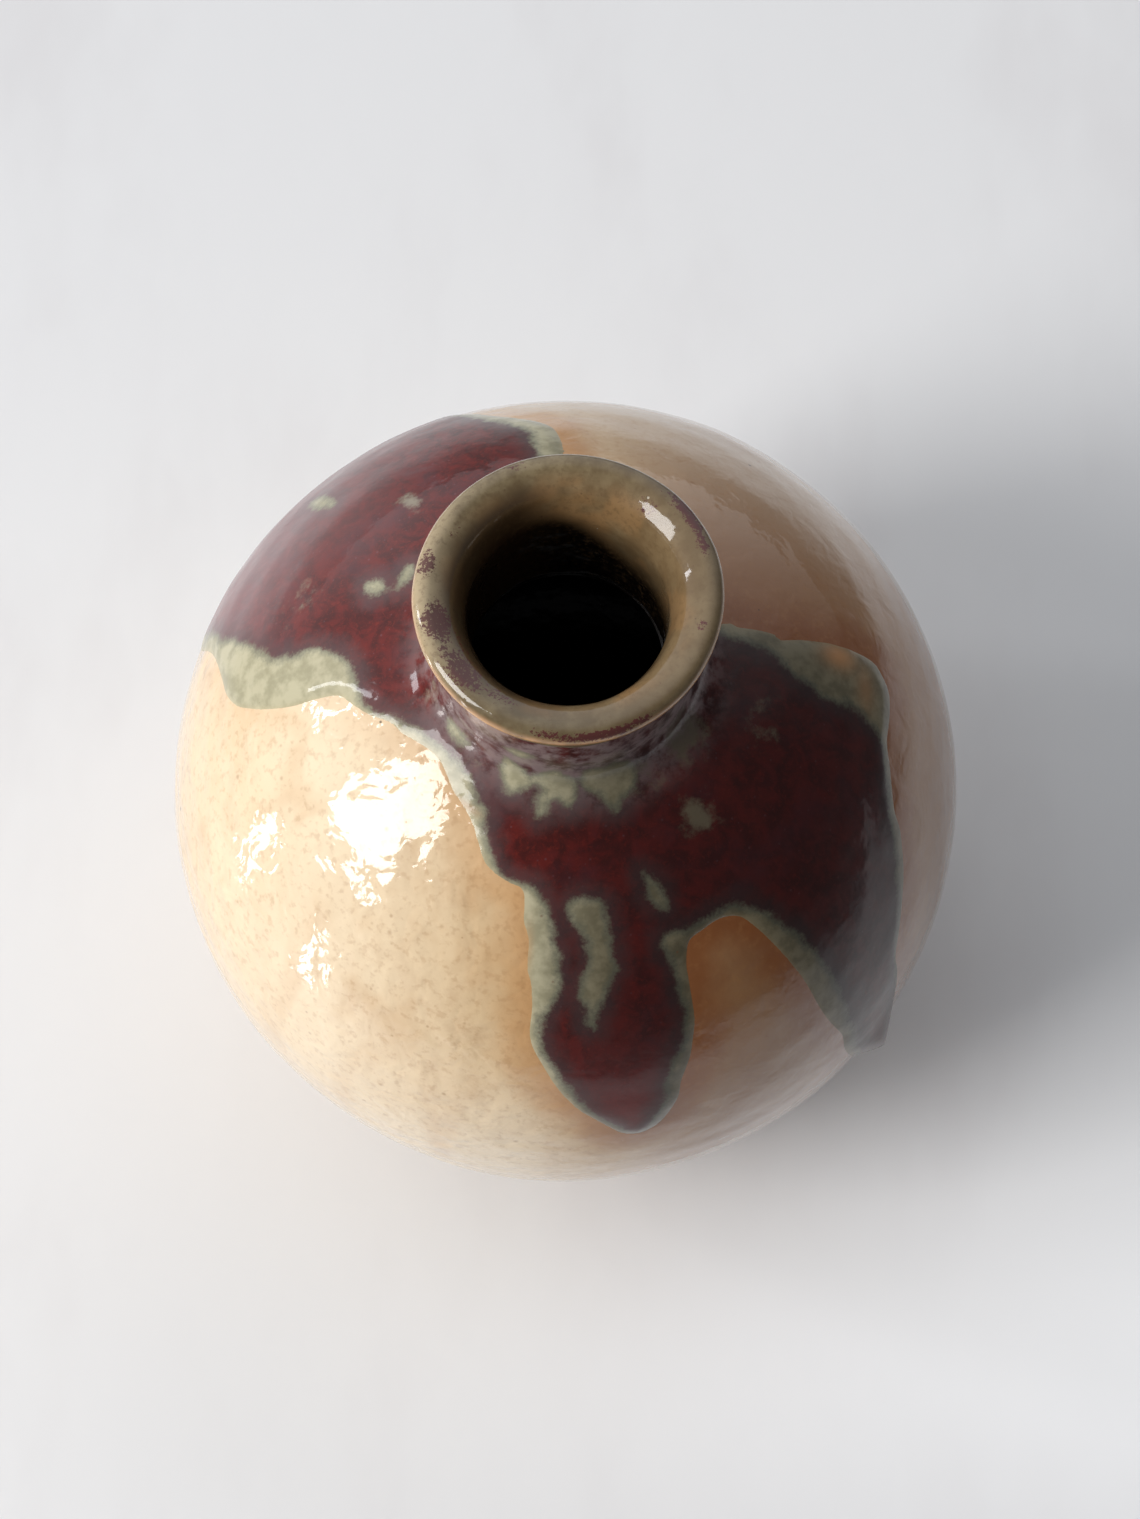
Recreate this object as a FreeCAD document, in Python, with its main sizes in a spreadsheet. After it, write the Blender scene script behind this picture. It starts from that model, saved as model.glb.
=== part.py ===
"""Ceramic bud vase: a round stoneware bottle with a short flared neck, in millimetres.

The origin is at the centre of the foot's resting face and +Z runs up the axis of the neck.
Four parts of clay sit on that axis: foot ring, belly wall, neck collar and lip ring.
Coats of glass lie on them: honey glaze outside, an olive glaze over the lip and down the throat,
a dark liner inside, and three runs of poured red glaze on top of the honey glaze.
"""
import FreeCAD, Part
import math
import os
from collections import namedtuple

import Sketcher
from FreeCAD import Vector

DIMENSIONS = (
    ("belly_radius", 50.0, "outside of the glazed belly"),
    ("belly_centre", 47.0, "height of the belly's centre"),
    ("overall_height", 114.0, "top of the glazed lip"),
    ("wall", 4.4, "clay wall of the belly"),
    ("coat", 0.6, "thickness of the honey, lip and liner glazes"),
    ("run_coat", 0.8, "thickness of the poured red glaze"),
    ("neck_radius", 15.0, "outside of the glazed neck"),
    ("shoulder_fillet", 6.0, "hollow curve between belly and neck, on the glaze"),
    ("throat_radius", 11.25, "glazed bore of the neck"),
    ("lip_radius", 17.15, "outermost edge of the glazed lip"),
    ("lip_edge", 1.4, "rounding of the lip's edge, on the glaze"),
    ("lip_flare", 7.5, "rounding from the lip down into the throat, on the glaze"),
    ("lip_underside", 4.0, "hollow curve under the lip, on the glaze"),
    ("throat_corner", 3.0, "rounding where the clay throat opens into the belly"),
    ("floor_height", 8.0, "top of the clay floor"),
    ("floor_fillet", 16.0, "curve between the clay floor and the wall"),
    ("base_height", 3.0, "underside of the belly, inside the foot ring"),
    ("foot_outer", 26.5, "outside radius of the foot ring"),
    ("foot_inner", 21.0, "inside radius of the foot ring"),
    ("foot_chamfer", 0.7, "worn edges of the foot ring"),
    ("glaze_line", 7.5, "height at which the honey glaze stops"),
    ("run_reach", 95.0, "longest run of red glaze, measured down the surface from the neck's top"),
)

# Edge of the poured red glaze: (azimuth in degrees from +X, distance in millimetres down the glazed
# surface from the top of the neck). It starts at the back of the neck and goes round by the left.
POUR_EDGE = (
    (88, -2), (89, 12), (90, 24), (91, 31), (95, 37), (102, 43), (106, 51), (110, 60),
    (115, 68), (122, 71), (128, 66), (134, 64), (140, 70), (147, 79), (154, 81), (160, 73),
    (164, 64), (169, 53), (175, 46), (181, 42), (184, 36), (186, 30), (188, 25), (193, 23),
    (199, 20), (207, 17.8), (218, 17), (228, 18), (237, 20), (244, 22.5), (251, 25), (257, 26),
    (259.5, 29), (261.5, 34), (263.5, 40), (264, 46), (266.5, 52), (270, 56), (275, 61),
    (280, 64.3), (284, 62), (287.5, 57), (289.5, 51), (292, 46), (293, 40), (294.5, 35.8),
    (300, 34.6), (305.5, 36), (309, 40), (311, 48), (311.5, 58), (312.5, 68), (314, 78),
    (317, 87), (321, 88.5), (324, 84), (324.5, 76), (327, 68), (332, 58), (339.5, 49),
    (345, 44.5), (352, 41.5), (361, 41.8), (367, 39), (369.5, 33), (370.5, 25), (374, 18),
    (377, 11), (378, -2),
)
EDGE_STEP = 2.0
RUNS = {
    # name: the azimuths between which the run lies
    "red_run_left": (80.0, 222.0),
    "red_run_front": (222.0, 299.0),
    "red_run_right": (299.0, 385.0),
}

Arc = namedtuple("Arc", "centre radius start end radius_from")


def cell(name):
    return "Dimensions." + name


def direction(start, end):
    """Direction from one point to another, in radians."""
    return math.atan2(end[1] - start[1], end[0] - start[0])


def polar(centre, radius, turn):
    """Point at a radius and a direction from a centre."""
    return centre[0] + radius * math.cos(turn), centre[1] + radius * math.sin(turn)


def set_up_sheet(doc):
    """Writes the driving dimensions into a spreadsheet, one named cell each."""
    sheet = doc.addObject("Spreadsheet::Sheet", "Dimensions")
    for row, (alias, value, meaning) in enumerate(DIMENSIONS, start=1):
        sheet.set(f"A{row}", alias)
        sheet.set(f"B{row}", str(value))
        sheet.set(f"C{row}", meaning)
        sheet.setAlias(f"B{row}", alias)
    doc.recompute()
    return sheet


def depth_sign(depth, sign):
    """The text that adds or takes away a depth, such as the glaze's, in an expression."""
    return f" {sign} {cell(depth)}" if depth else ""


class Skin:
    """Half-section of the vase's surface, from foot to floor, at some depth below the glaze.

    The stretches run up the outside, over the lip, down the throat and round the inside. Depth is
    0 on the glaze, one coat on the clay, and minus one run on the red glaze.
    """

    def __init__(self, size, depth=None, proud=None):
        below = getattr(size, depth) if depth else 0.0
        below -= getattr(size, proud) if proud else 0.0
        less = depth_sign(depth, "-") + depth_sign(proud, "+")
        more = depth_sign(depth, "+") + depth_sign(proud, "-")
        self.neck_x = size.neck_radius - below
        self.neck_from = cell("neck_radius") + less
        self.throat_x = size.throat_radius + below
        self.throat_from = cell("throat_radius") + more
        belly_c = (0.0, size.belly_centre)
        fillet_c = self.above(belly_c, size.neck_radius, size.belly_radius, size.shoulder_fillet)
        edge_c = (size.lip_radius - size.lip_edge, size.overall_height - size.lip_edge)
        under_c = self.below(edge_c, size.neck_radius + size.lip_underside,
                             size.lip_underside + size.lip_edge)
        flare_c = self.below(edge_c, size.throat_radius + size.lip_flare,
                             size.lip_flare - size.lip_edge)
        hollow = size.belly_radius - size.coat - size.wall
        throat_clay = size.throat_radius + size.coat
        corner_c = self.above(belly_c, throat_clay, hollow, size.throat_corner)
        floor_y = size.floor_height + size.floor_fillet
        drop = size.belly_centre - floor_y
        floor_c = (math.sqrt((hollow - size.floor_fillet) ** 2 - drop**2), floor_y)
        self.shoulder_y = fillet_c[1]
        self.neck_y = under_c[1]
        self.flare_y = flare_c[1]
        self.throat_y = corner_c[1]
        to_fillet = direction(belly_c, fillet_c)
        to_edge = direction(under_c, edge_c)
        to_lip = direction(flare_c, edge_c)
        to_corner = direction(belly_c, corner_c)
        to_floor = direction(belly_c, floor_c)
        # the lining lies on the clay inside, so its stretches shrink by what is left of the coat
        spare = size.coat - below
        grow = "" if depth == "coat" else f" + {cell('coat')}"
        shrink = "" if depth == "coat" else f" - {cell('coat')}"
        self.belly = Arc(belly_c, size.belly_radius - below, -math.pi / 2, to_fillet,
                         cell("belly_radius") + less)
        self.shoulder = Arc(fillet_c, size.shoulder_fillet + below, to_fillet + math.pi, math.pi,
                            cell("shoulder_fillet") + more)
        self.underside = Arc(under_c, size.lip_underside + below, math.pi, to_edge,
                             cell("lip_underside") + more)
        self.edge = Arc(edge_c, size.lip_edge - below, to_edge - math.pi, to_lip,
                        cell("lip_edge") + less)
        self.flare = Arc(flare_c, size.lip_flare - below, to_lip, math.pi,
                         cell("lip_flare") + less)
        self.corner = Arc(corner_c, size.throat_corner + spare, math.pi, to_corner + math.pi,
                          cell("throat_corner") + grow)
        self.hollow = Arc(belly_c, hollow - spare, to_corner, to_floor,
                          f"{cell('belly_radius')} - {cell('coat')} - {cell('wall')}{shrink}")
        self.floor = Arc(floor_c, size.floor_fillet - spare, to_floor, -math.pi / 2,
                         cell("floor_fillet") + shrink)
        self.floor_y = size.floor_height + spare
        self.floor_from = cell("floor_height") + grow

    @staticmethod
    def above(centre, upright, radius, fillet):
        """Centre of a fillet between a circle and the upright line above it."""
        across = upright + fillet
        return across, centre[1] + math.sqrt((radius + fillet) ** 2 - across**2)

    @staticmethod
    def below(centre, across, reach):
        """Point at a distance across from the axis and a reach below a centre."""
        return across, centre[1] - math.sqrt(reach**2 - (across - centre[0]) ** 2)


class Profile:
    """A closed sketch on a body's XZ plane, drawn as a chain of lines and arcs, to be revolved."""

    def __init__(self, doc, label):
        self.doc = doc
        self.body = doc.addObject("PartDesign::Body", label)
        self.body.Label = label
        self.sketch = self.body.newObject("Sketcher::SketchObject", label + "_profile")
        planes = self.body.Origin.OriginFeatures
        self.sketch.AttachmentSupport = next(p for p in planes if p.Role == "XZ_Plane")
        self.sketch.MapMode = "FlatFace"
        self.chain = []
        self.smooth = set()

    def line(self, start, end):
        """Adds a straight stretch to the chain and keeps it level or upright if it is."""
        index = self.sketch.addGeometry(Part.LineSegment(Vector(*start, 0), Vector(*end, 0)), False)
        self.chain.append((index, 1, 2))
        if math.isclose(start[1], end[1], abs_tol=1e-9):
            self.sketch.addConstraint(Sketcher.Constraint("Horizontal", index))
        elif math.isclose(start[0], end[0], abs_tol=1e-9):
            self.sketch.addConstraint(Sketcher.Constraint("Vertical", index))
        return index

    def arc(self, arc, back=False, smooth=True):
        """Adds an arc to the chain, walked either way; smooth if it leaves the last one tangent."""
        start, end = (arc.end, arc.start) if back else (arc.start, arc.end)
        circle = Part.Circle(Vector(*arc.centre, 0), Vector(0, 0, 1), arc.radius)
        forward = end > start
        low, high = (start, end) if forward else (end, start)
        index = self.sketch.addGeometry(Part.ArcOfCircle(circle, low, high), False)
        if smooth:
            self.smooth.add(len(self.chain))
        self.chain.append((index, 1, 2) if forward else (index, 2, 1))
        radius = self.sketch.addConstraint(Sketcher.Constraint("Radius", index, arc.radius))
        self.sketch.setExpression(f"Constraints[{radius}]", arc.radius_from)
        return index

    def place(self, index, point, x=None, y=None):
        """Binds a point's distance from the axis or from the ground to cells of the sheet."""
        for kind, pair in (("DistanceX", x), ("DistanceY", y)):
            if pair:
                rule = Sketcher.Constraint(kind, -1, 1, index, point, pair[0])
                self.sketch.setExpression(
                    f"Constraints[{self.sketch.addConstraint(rule)}]", pair[1]
                )

    def centre(self, index, size):
        """Holds an arc's centre at the middle of the belly."""
        self.sketch.addConstraint(Sketcher.Constraint("PointOnObject", index, 3, -2))
        self.place(index, 3, y=(size.belly_centre, cell("belly_centre")))

    def revolve(self):
        """Closes the chain, turns it once about the vertical axis and returns the body."""
        links = zip(self.chain, self.chain[1:] + self.chain[:1])
        for step, ((a, _, a_end), (b, b_start, _)) in enumerate(links, start=1):
            kind = "Tangent" if step in self.smooth else "Coincident"
            self.sketch.addConstraint(Sketcher.Constraint(kind, a, a_end, b, b_start))
        turned = self.body.newObject("PartDesign::Revolution", self.body.Label + "_turned")
        turned.Profile = self.sketch
        turned.ReferenceAxis = (self.sketch, ["V_Axis"])
        turned.Angle = 360.0
        self.sketch.Visibility = False
        self.doc.recompute()
        return self.body


def make_foot_ring(doc, size):
    """Turned ring of bare clay that the vase stands on, hollowed to seat the round base."""
    clay = Skin(size, depth="coat").belly
    reach = math.acos(size.foot_outer / clay.radius)
    base = math.asin((size.belly_centre - size.base_height) / clay.radius)
    seat = clay._replace(start=-reach, end=-base)
    ring = Profile(doc, "foot_ring")
    ground = ring.line((size.foot_inner, 0), (size.foot_outer, 0))
    ring.line((size.foot_outer, 0), polar(seat.centre, seat.radius, -reach))
    ring.centre(ring.arc(seat, smooth=False), size)
    ledge = ring.line(polar(seat.centre, seat.radius, -base), (size.foot_inner, size.base_height))
    ring.line((size.foot_inner, size.base_height), (size.foot_inner, 0))
    ring.place(ground, 1, x=(size.foot_inner, cell("foot_inner")))
    ring.place(ground, 2, x=(size.foot_outer, cell("foot_outer")))
    ring.sketch.addConstraint(Sketcher.Constraint("PointOnObject", ground, 1, -1))
    ring.place(ledge, 2, y=(size.base_height, cell("base_height")))
    body = ring.revolve()
    turned = body.Tip
    rims = [
        f"Edge{number}"
        for number, edge in enumerate(turned.Shape.Edges, start=1)
        if edge.BoundBox.ZMax < 1e-6 and isinstance(edge.Curve, Part.Circle)
    ]
    worn = body.newObject("PartDesign::Chamfer", "foot_ring_worn")
    worn.Base = (turned, rims)
    worn.setExpression("Size", cell("foot_chamfer"))
    body.Tip = worn
    return body


def make_belly_wall(doc, size):
    """Thrown clay bulb with its floor and shoulder, open at the top where the neck begins."""
    clay = Skin(size, depth="coat")
    base = math.asin((size.belly_centre - size.base_height) / clay.belly.radius)
    wall = Profile(doc, "belly_wall")
    middle = wall.line((0, size.floor_height), (0, size.base_height))
    wall.line((0, size.base_height), polar(clay.belly.centre, clay.belly.radius, -base))
    wall.centre(wall.arc(clay.belly._replace(start=-base), smooth=False), size)
    wall.arc(clay.shoulder)
    joint = wall.line((clay.neck_x, clay.shoulder_y), (clay.throat_x, clay.shoulder_y))
    wall.place(joint, 1, x=(clay.neck_x, clay.neck_from))
    wall.line((clay.throat_x, clay.shoulder_y), (clay.throat_x, clay.throat_y))
    wall.place(joint, 2, x=(clay.throat_x, clay.throat_from))
    wall.arc(clay.corner)
    wall.centre(wall.arc(clay.hollow), size)
    wall.arc(clay.floor)
    wall.smooth.add(len(wall.chain))
    wall.line((clay.floor.centre[0], size.floor_height), (0, size.floor_height))
    wall.sketch.addConstraint(Sketcher.Constraint("PointOnObject", middle, 1, -2))
    wall.place(middle, 1, y=(size.floor_height, cell("floor_height")))
    wall.place(middle, 2, y=(size.base_height, cell("base_height")))
    return wall.revolve()


def make_neck_collar(doc, size):
    """Straight clay collar between the shoulder and the lip."""
    clay = Skin(size, depth="coat")
    low, high = clay.shoulder_y, clay.flare_y
    collar = Profile(doc, "neck_collar")
    foot = collar.line((clay.throat_x, low), (clay.neck_x, low))
    collar.line((clay.neck_x, low), (clay.neck_x, high))
    top = collar.line((clay.neck_x, high), (clay.throat_x, high))
    collar.line((clay.throat_x, high), (clay.throat_x, low))
    collar.place(foot, 1, x=(clay.throat_x, clay.throat_from))
    collar.place(foot, 2, x=(clay.neck_x, clay.neck_from))
    collar.place(foot, 1, y=(low, height_of("shoulder")))
    collar.place(top, 1, y=(high, height_of("flare")))
    return collar.revolve()


def height_of(level):
    """Expression for the height of the top of the shoulder, or of the foot of the lip's flare."""
    names = {alias: cell(alias) for alias, _, _ in DIMENSIONS}
    if level == "shoulder":
        return (
            "{belly_centre} + sqrt(({belly_radius} + {shoulder_fillet})^2"
            " - ({neck_radius} + {shoulder_fillet})^2)"
        ).format(**names)
    return (
        "{overall_height} - {lip_edge} - sqrt(({lip_flare} - {lip_edge})^2"
        " - ({throat_radius} + {lip_flare} - {lip_radius} + {lip_edge})^2)"
    ).format(**names)


def place_edge(profile, index, size):
    """Binds the centre of the lip's edge to the lip's radius and the overall height."""
    across = size.lip_radius - size.lip_edge
    up = size.overall_height - size.lip_edge
    profile.place(index, 3, x=(across, f"{cell('lip_radius')} - {cell('lip_edge')}"))
    profile.place(index, 3, y=(up, f"{cell('overall_height')} - {cell('lip_edge')}"))


def make_lip_ring(doc, size):
    """Flared clay lip, drawn out from the collar to a rounded edge."""
    clay = Skin(size, depth="coat")
    ring = Profile(doc, "lip_ring")
    joint = ring.line((clay.throat_x, clay.flare_y), (clay.neck_x, clay.flare_y))
    ring.place(joint, 2, x=(clay.neck_x, clay.neck_from))
    ring.line((clay.neck_x, clay.flare_y), (clay.neck_x, clay.neck_y))
    ring.arc(clay.underside)
    place_edge(ring, ring.arc(clay.edge), size)
    ring.arc(clay.flare)
    ring.place(joint, 1, y=(clay.flare_y, height_of("flare")))
    return ring.revolve()


def make_honey_glaze(doc, size):
    """Honey glaze coat from just above the foot to the top of the neck."""
    glaze = Skin(size)
    clay = Skin(size, depth="coat")
    stop = -math.asin((size.belly_centre - size.glaze_line) / size.belly_radius)
    coat = Profile(doc, "honey_glaze_coat")
    edge = coat.line(
        polar(clay.belly.centre, clay.belly.radius, stop),
        polar(glaze.belly.centre, glaze.belly.radius, stop),
    )
    coat.place(edge, 2, y=(size.glaze_line, cell("glaze_line")))
    coat.centre(coat.arc(glaze.belly._replace(start=stop), smooth=False), size)
    coat.arc(glaze.shoulder)
    coat.smooth.add(len(coat.chain))
    coat.line((glaze.neck_x, glaze.shoulder_y), (glaze.neck_x, glaze.neck_y))
    top = coat.line((glaze.neck_x, glaze.neck_y), (clay.neck_x, glaze.neck_y))
    coat.place(top, 1, x=(glaze.neck_x, glaze.neck_from))
    coat.place(top, 2, x=(clay.neck_x, clay.neck_from))
    coat.line((clay.neck_x, clay.neck_y), (clay.neck_x, clay.shoulder_y))
    coat.arc(clay.shoulder, back=True)
    coat.centre(coat.arc(clay.belly._replace(start=stop), back=True), size)
    return coat.revolve()


def make_lip_glaze(doc, size):
    """Olive glaze from under the lip, over its edge and down the throat."""
    glaze = Skin(size)
    clay = Skin(size, depth="coat")
    coat = Profile(doc, "lip_glaze")
    start = coat.line((clay.neck_x, clay.neck_y), (glaze.neck_x, glaze.neck_y))
    coat.arc(glaze.underside, smooth=False)
    place_edge(coat, coat.arc(glaze.edge), size)
    coat.arc(glaze.flare)
    coat.smooth.add(len(coat.chain))
    coat.line((glaze.throat_x, glaze.flare_y), (glaze.throat_x, glaze.throat_y))
    foot = coat.line((glaze.throat_x, glaze.throat_y), (clay.throat_x, clay.throat_y))
    coat.line((clay.throat_x, clay.throat_y), (clay.throat_x, clay.flare_y))
    coat.arc(clay.flare, back=True)
    place_edge(coat, coat.arc(clay.edge, back=True), size)
    coat.arc(clay.underside, back=True)
    coat.place(start, 1, x=(clay.neck_x, clay.neck_from))
    coat.place(start, 2, x=(glaze.neck_x, glaze.neck_from))
    coat.place(foot, 1, x=(glaze.throat_x, glaze.throat_from))
    coat.place(foot, 2, x=(clay.throat_x, clay.throat_from))
    return coat.revolve()


def make_liner_glaze(doc, size):
    """Dark glaze poured round the inside, from the foot of the throat to the floor."""
    glaze = Skin(size)
    clay = Skin(size, depth="coat")
    liner = Profile(doc, "liner_glaze")
    rim = liner.line((glaze.throat_x, glaze.throat_y), (clay.throat_x, clay.throat_y))
    liner.arc(clay.corner, smooth=False)
    liner.centre(liner.arc(clay.hollow), size)
    liner.arc(clay.floor)
    liner.smooth.add(len(liner.chain))
    bottom = liner.line((clay.floor.centre[0], clay.floor_y), (0, clay.floor_y))
    middle = liner.line((0, clay.floor_y), (0, glaze.floor_y))
    liner.line((0, glaze.floor_y), (glaze.floor.centre[0], glaze.floor_y))
    liner.arc(glaze.floor, back=True)
    liner.centre(liner.arc(glaze.hollow, back=True), size)
    liner.arc(glaze.corner, back=True)
    liner.place(rim, 1, x=(glaze.throat_x, glaze.throat_from))
    liner.place(rim, 2, x=(clay.throat_x, clay.throat_from))
    liner.place(bottom, 2, y=(clay.floor_y, clay.floor_from))
    liner.place(middle, 2, y=(glaze.floor_y, glaze.floor_from))
    liner.sketch.addConstraint(Sketcher.Constraint("PointOnObject", middle, 1, -2))
    return liner.revolve()


def outside_at(size, azimuth, distance):
    """Point and outward normal on the glaze at an azimuth and a distance down from the neck's top."""
    glaze = Skin(size)
    straight = glaze.neck_y - glaze.shoulder_y
    hollow = glaze.shoulder.radius * (glaze.shoulder.start - glaze.shoulder.end)
    if distance <= straight:
        across, height, tilt = glaze.neck_x, glaze.neck_y - distance, 0.0
    elif distance <= straight + hollow:
        tilt = (distance - straight) / glaze.shoulder.radius
        across, height = polar(glaze.shoulder.centre, glaze.shoulder.radius, math.pi + tilt)
    else:
        tilt = glaze.belly.end - (distance - straight - hollow) / glaze.belly.radius
        across, height = polar(glaze.belly.centre, glaze.belly.radius, tilt)
    turn = math.radians(azimuth)
    outward = Vector(math.cos(turn), math.sin(turn), 0)
    normal = outward * math.cos(tilt) + Vector(0, 0, math.sin(tilt))
    return outward * across + Vector(0, 0, height), normal


def smooth_edge(size):
    """The pour's edge as a smooth line of (azimuth, distance), close enough set to hug the neck."""
    stands = [outside_at(size, azimuth, distance)[0] for azimuth, distance in POUR_EDGE]
    spacing = [0.0]
    for here, there in zip(stands, stands[1:]):
        spacing.append(spacing[-1] + (there - here).Length)
    flat = Part.BSplineCurve()
    flat.interpolate(Points=[Vector(*corner, 0) for corner in POUR_EDGE], Parameters=spacing)
    steps = round(spacing[-1] / EDGE_STEP)
    return [flat.value(spacing[-1] * step / steps) for step in range(steps + 1)]


def make_fence(size):
    """Wall, standing square on the glaze, that the pour's edge runs along from neck to neck."""
    stands = [outside_at(size, corner.x, corner.y) for corner in smooth_edge(size)]
    rails = []
    for lift in (-size.coat, 2 * size.run_coat):
        rail = Part.BSplineCurve()
        rail.interpolate(
            Points=[point + normal * lift for point, normal in stands],
            Parameters=list(range(len(stands))),
        )
        rails.append(rail.toShape())
    return Part.makeRuledSurface(*rails)


def section_edge(start, middle, end):
    """Arc of the half-section through three points given as (across, height)."""
    return Part.Arc(*(Vector(x, 0, z) for x, z in (start, middle, end))).toShape()


def skin_edges(skin, bottom):
    """Edges of a skin's half-section, from a direction low on the belly to the top of the neck."""
    belly = skin.belly._replace(start=bottom)
    edges = [
        section_edge(*(polar(arc.centre, arc.radius, arc.start + part * (arc.end - arc.start))
                       for part in (0, 0.5, 1)))
        for arc in (belly, skin.shoulder)
    ]
    low, high = Vector(skin.neck_x, 0, skin.shoulder_y), Vector(skin.neck_x, 0, skin.neck_y)
    return edges + [Part.LineSegment(low, high).toShape()]


def skin_section(size):
    """Half-section of the red glaze before it is trimmed, lying on the honey glaze."""
    inside, outside = Skin(size), Skin(size, proud="run_coat")
    straight = inside.neck_y - inside.shoulder_y
    hollow = inside.shoulder.radius * (inside.shoulder.start - inside.shoulder.end)
    bottom = inside.belly.end - (size.run_reach - straight - hollow) / inside.belly.radius
    inner, outer = skin_edges(inside, bottom), skin_edges(outside, bottom)
    ends = [
        Part.LineSegment(inner[0].Vertexes[0].Point, outer[0].Vertexes[0].Point).toShape(),
        Part.LineSegment(inner[-1].Vertexes[-1].Point, outer[-1].Vertexes[-1].Point).toShape(),
    ]
    return Part.Face(Part.Wire(Part.__sortEdges__(inner + outer + ends)))


def make_run(doc, size, fence, label):
    """One run of red glaze, from the azimuth where it parts from its neighbour to the next."""
    first, last = RUNS[label]
    axis = Vector(0, 0, 1)
    section = skin_section(size)
    section.rotate(Vector(), axis, first)
    pieces, _ = section.revolve(Vector(), axis, last - first).generalFuse([fence])
    point, normal = outside_at(size, (first + last) / 2, 5.0)
    within = point + normal * (size.run_coat / 2)
    run = doc.addObject("Part::Feature", label)
    run.Label = label
    run.Shape = next(piece for piece in pieces.Solids if piece.isInside(within, 1e-4, False))
    run.Placement = FreeCAD.Placement()
    return run


def check_document(doc, nodes):
    """Stops if any object failed to compute or any piece isn't one valid solid."""
    for item in doc.Objects:
        if {"Invalid", "Error"} & set(item.State):
            raise RuntimeError(f"{item.Label} failed: {item.State}")
    for node in nodes:
        shape = node.Shape
        if shape.isNull() or not shape.isValid() or len(shape.Solids) != 1:
            raise RuntimeError(f"{node.Label} isn't one valid solid")


def main():
    doc = FreeCAD.newDocument("bud_vase")
    size = set_up_sheet(doc)
    nodes = [
        make(doc, size)
        for make in (
            make_foot_ring,
            make_belly_wall,
            make_neck_collar,
            make_lip_ring,
            make_honey_glaze,
            make_lip_glaze,
            make_liner_glaze,
        )
    ]
    fence = make_fence(size)
    nodes += [make_run(doc, size, fence, label) for label in RUNS]
    doc.recompute()
    check_document(doc, nodes)
    os.makedirs("parts", exist_ok=True)
    for node in nodes:
        node.Shape.exportStep(f"parts/{node.Label}.step")
        print(f"{node.Label}: {node.Shape.Volume / 1000:.2f} cm3")


main()
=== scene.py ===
"""Looks of the bud vase: the packed clay with glaze skins, a floor, light and a camera.

Lengths in the shape code are millimetres in the part's own frame, and become metres when a mesh is
made. A place on the outside is given by its azimuth in degrees from +X and by its distance `down`
the glaze from the top of the neck. A place on the lip is given by its distance `over` it, from the
top of the neck outwards, over the edge and down the throat.
"""

import math

import bpy
import numpy as np
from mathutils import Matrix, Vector, geometry, kdtree, noise


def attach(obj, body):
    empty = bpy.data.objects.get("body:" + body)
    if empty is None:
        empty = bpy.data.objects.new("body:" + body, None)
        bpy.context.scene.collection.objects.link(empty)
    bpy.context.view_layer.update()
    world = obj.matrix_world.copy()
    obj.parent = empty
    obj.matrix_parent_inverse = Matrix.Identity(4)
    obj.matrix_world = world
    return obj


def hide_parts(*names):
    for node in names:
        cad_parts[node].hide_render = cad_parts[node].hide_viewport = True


MM = 0.001
BELLY_R, BELLY_Z = 50.0, 47.0
NECK_R, FILLET_R = 15.0, 6.0
COAT = 0.6
TOP_Z, LIP_R, EDGE_R = 114.0, 17.15, 1.4
THROAT_R, FLARE_R, UNDER_R = 11.25, 7.5, 4.0
GLAZE_LINE_Z = 7.5
THROAT_FOOT_Z = 92.645
CURVE_STEP = 0.35

# Camera: degrees above the table, metres from the belly's centre, lens in mm and its shift. Lights
# face LIT_HEART, in metres, and the room's glow runs from dim to bright.
CAMERA_RISE, CAMERA_DISTANCE = 71.0, 0.425
LENS, LENS_SHIFT = 78.2, (0.0026, 0.0207)
LIT_HEART = (0.0, 0.0, 0.075)
ROOM_DIM, ROOM_BRIGHT = 0.11, 1.0

FILLET_X = NECK_R + FILLET_R
FILLET_Z = BELLY_Z + math.sqrt((BELLY_R + FILLET_R) ** 2 - FILLET_X**2)
FILLET_TURN = math.atan2(FILLET_Z - BELLY_Z, FILLET_X)
EDGE_X, EDGE_Z = LIP_R - EDGE_R, TOP_Z - EDGE_R
UNDER_X = NECK_R + UNDER_R
UNDER_Z = EDGE_Z - math.sqrt((UNDER_R + EDGE_R) ** 2 - (UNDER_X - EDGE_X) ** 2)
UNDER_TURN = math.atan2(EDGE_Z - UNDER_Z, EDGE_X - UNDER_X)
FLARE_X = THROAT_R + FLARE_R
FLARE_Z = EDGE_Z - math.sqrt((FLARE_R - EDGE_R) ** 2 - (FLARE_X - EDGE_X) ** 2)
FLARE_TURN = math.atan2(EDGE_Z - FLARE_Z, EDGE_X - FLARE_X)
NECK_LENGTH = UNDER_Z - FILLET_Z
# Distances over the lip at which its underside, its edge, its flare and its glaze end.
UNDER_END = UNDER_R * (math.pi - UNDER_TURN)
EDGE_END = UNDER_END + EDGE_R * (FLARE_TURN - UNDER_TURN + math.pi)
FLARE_END = EDGE_END + FLARE_R * (math.pi - FLARE_TURN)
THROAT_END = FLARE_END + FLARE_Z - THROAT_FOOT_Z
SHOULDER = NECK_LENGTH + FILLET_R * FILLET_TURN
GLAZE_FOOT = SHOULDER + BELLY_R * (FILLET_TURN + math.asin((BELLY_Z - GLAZE_LINE_Z) / BELLY_R))

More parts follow.
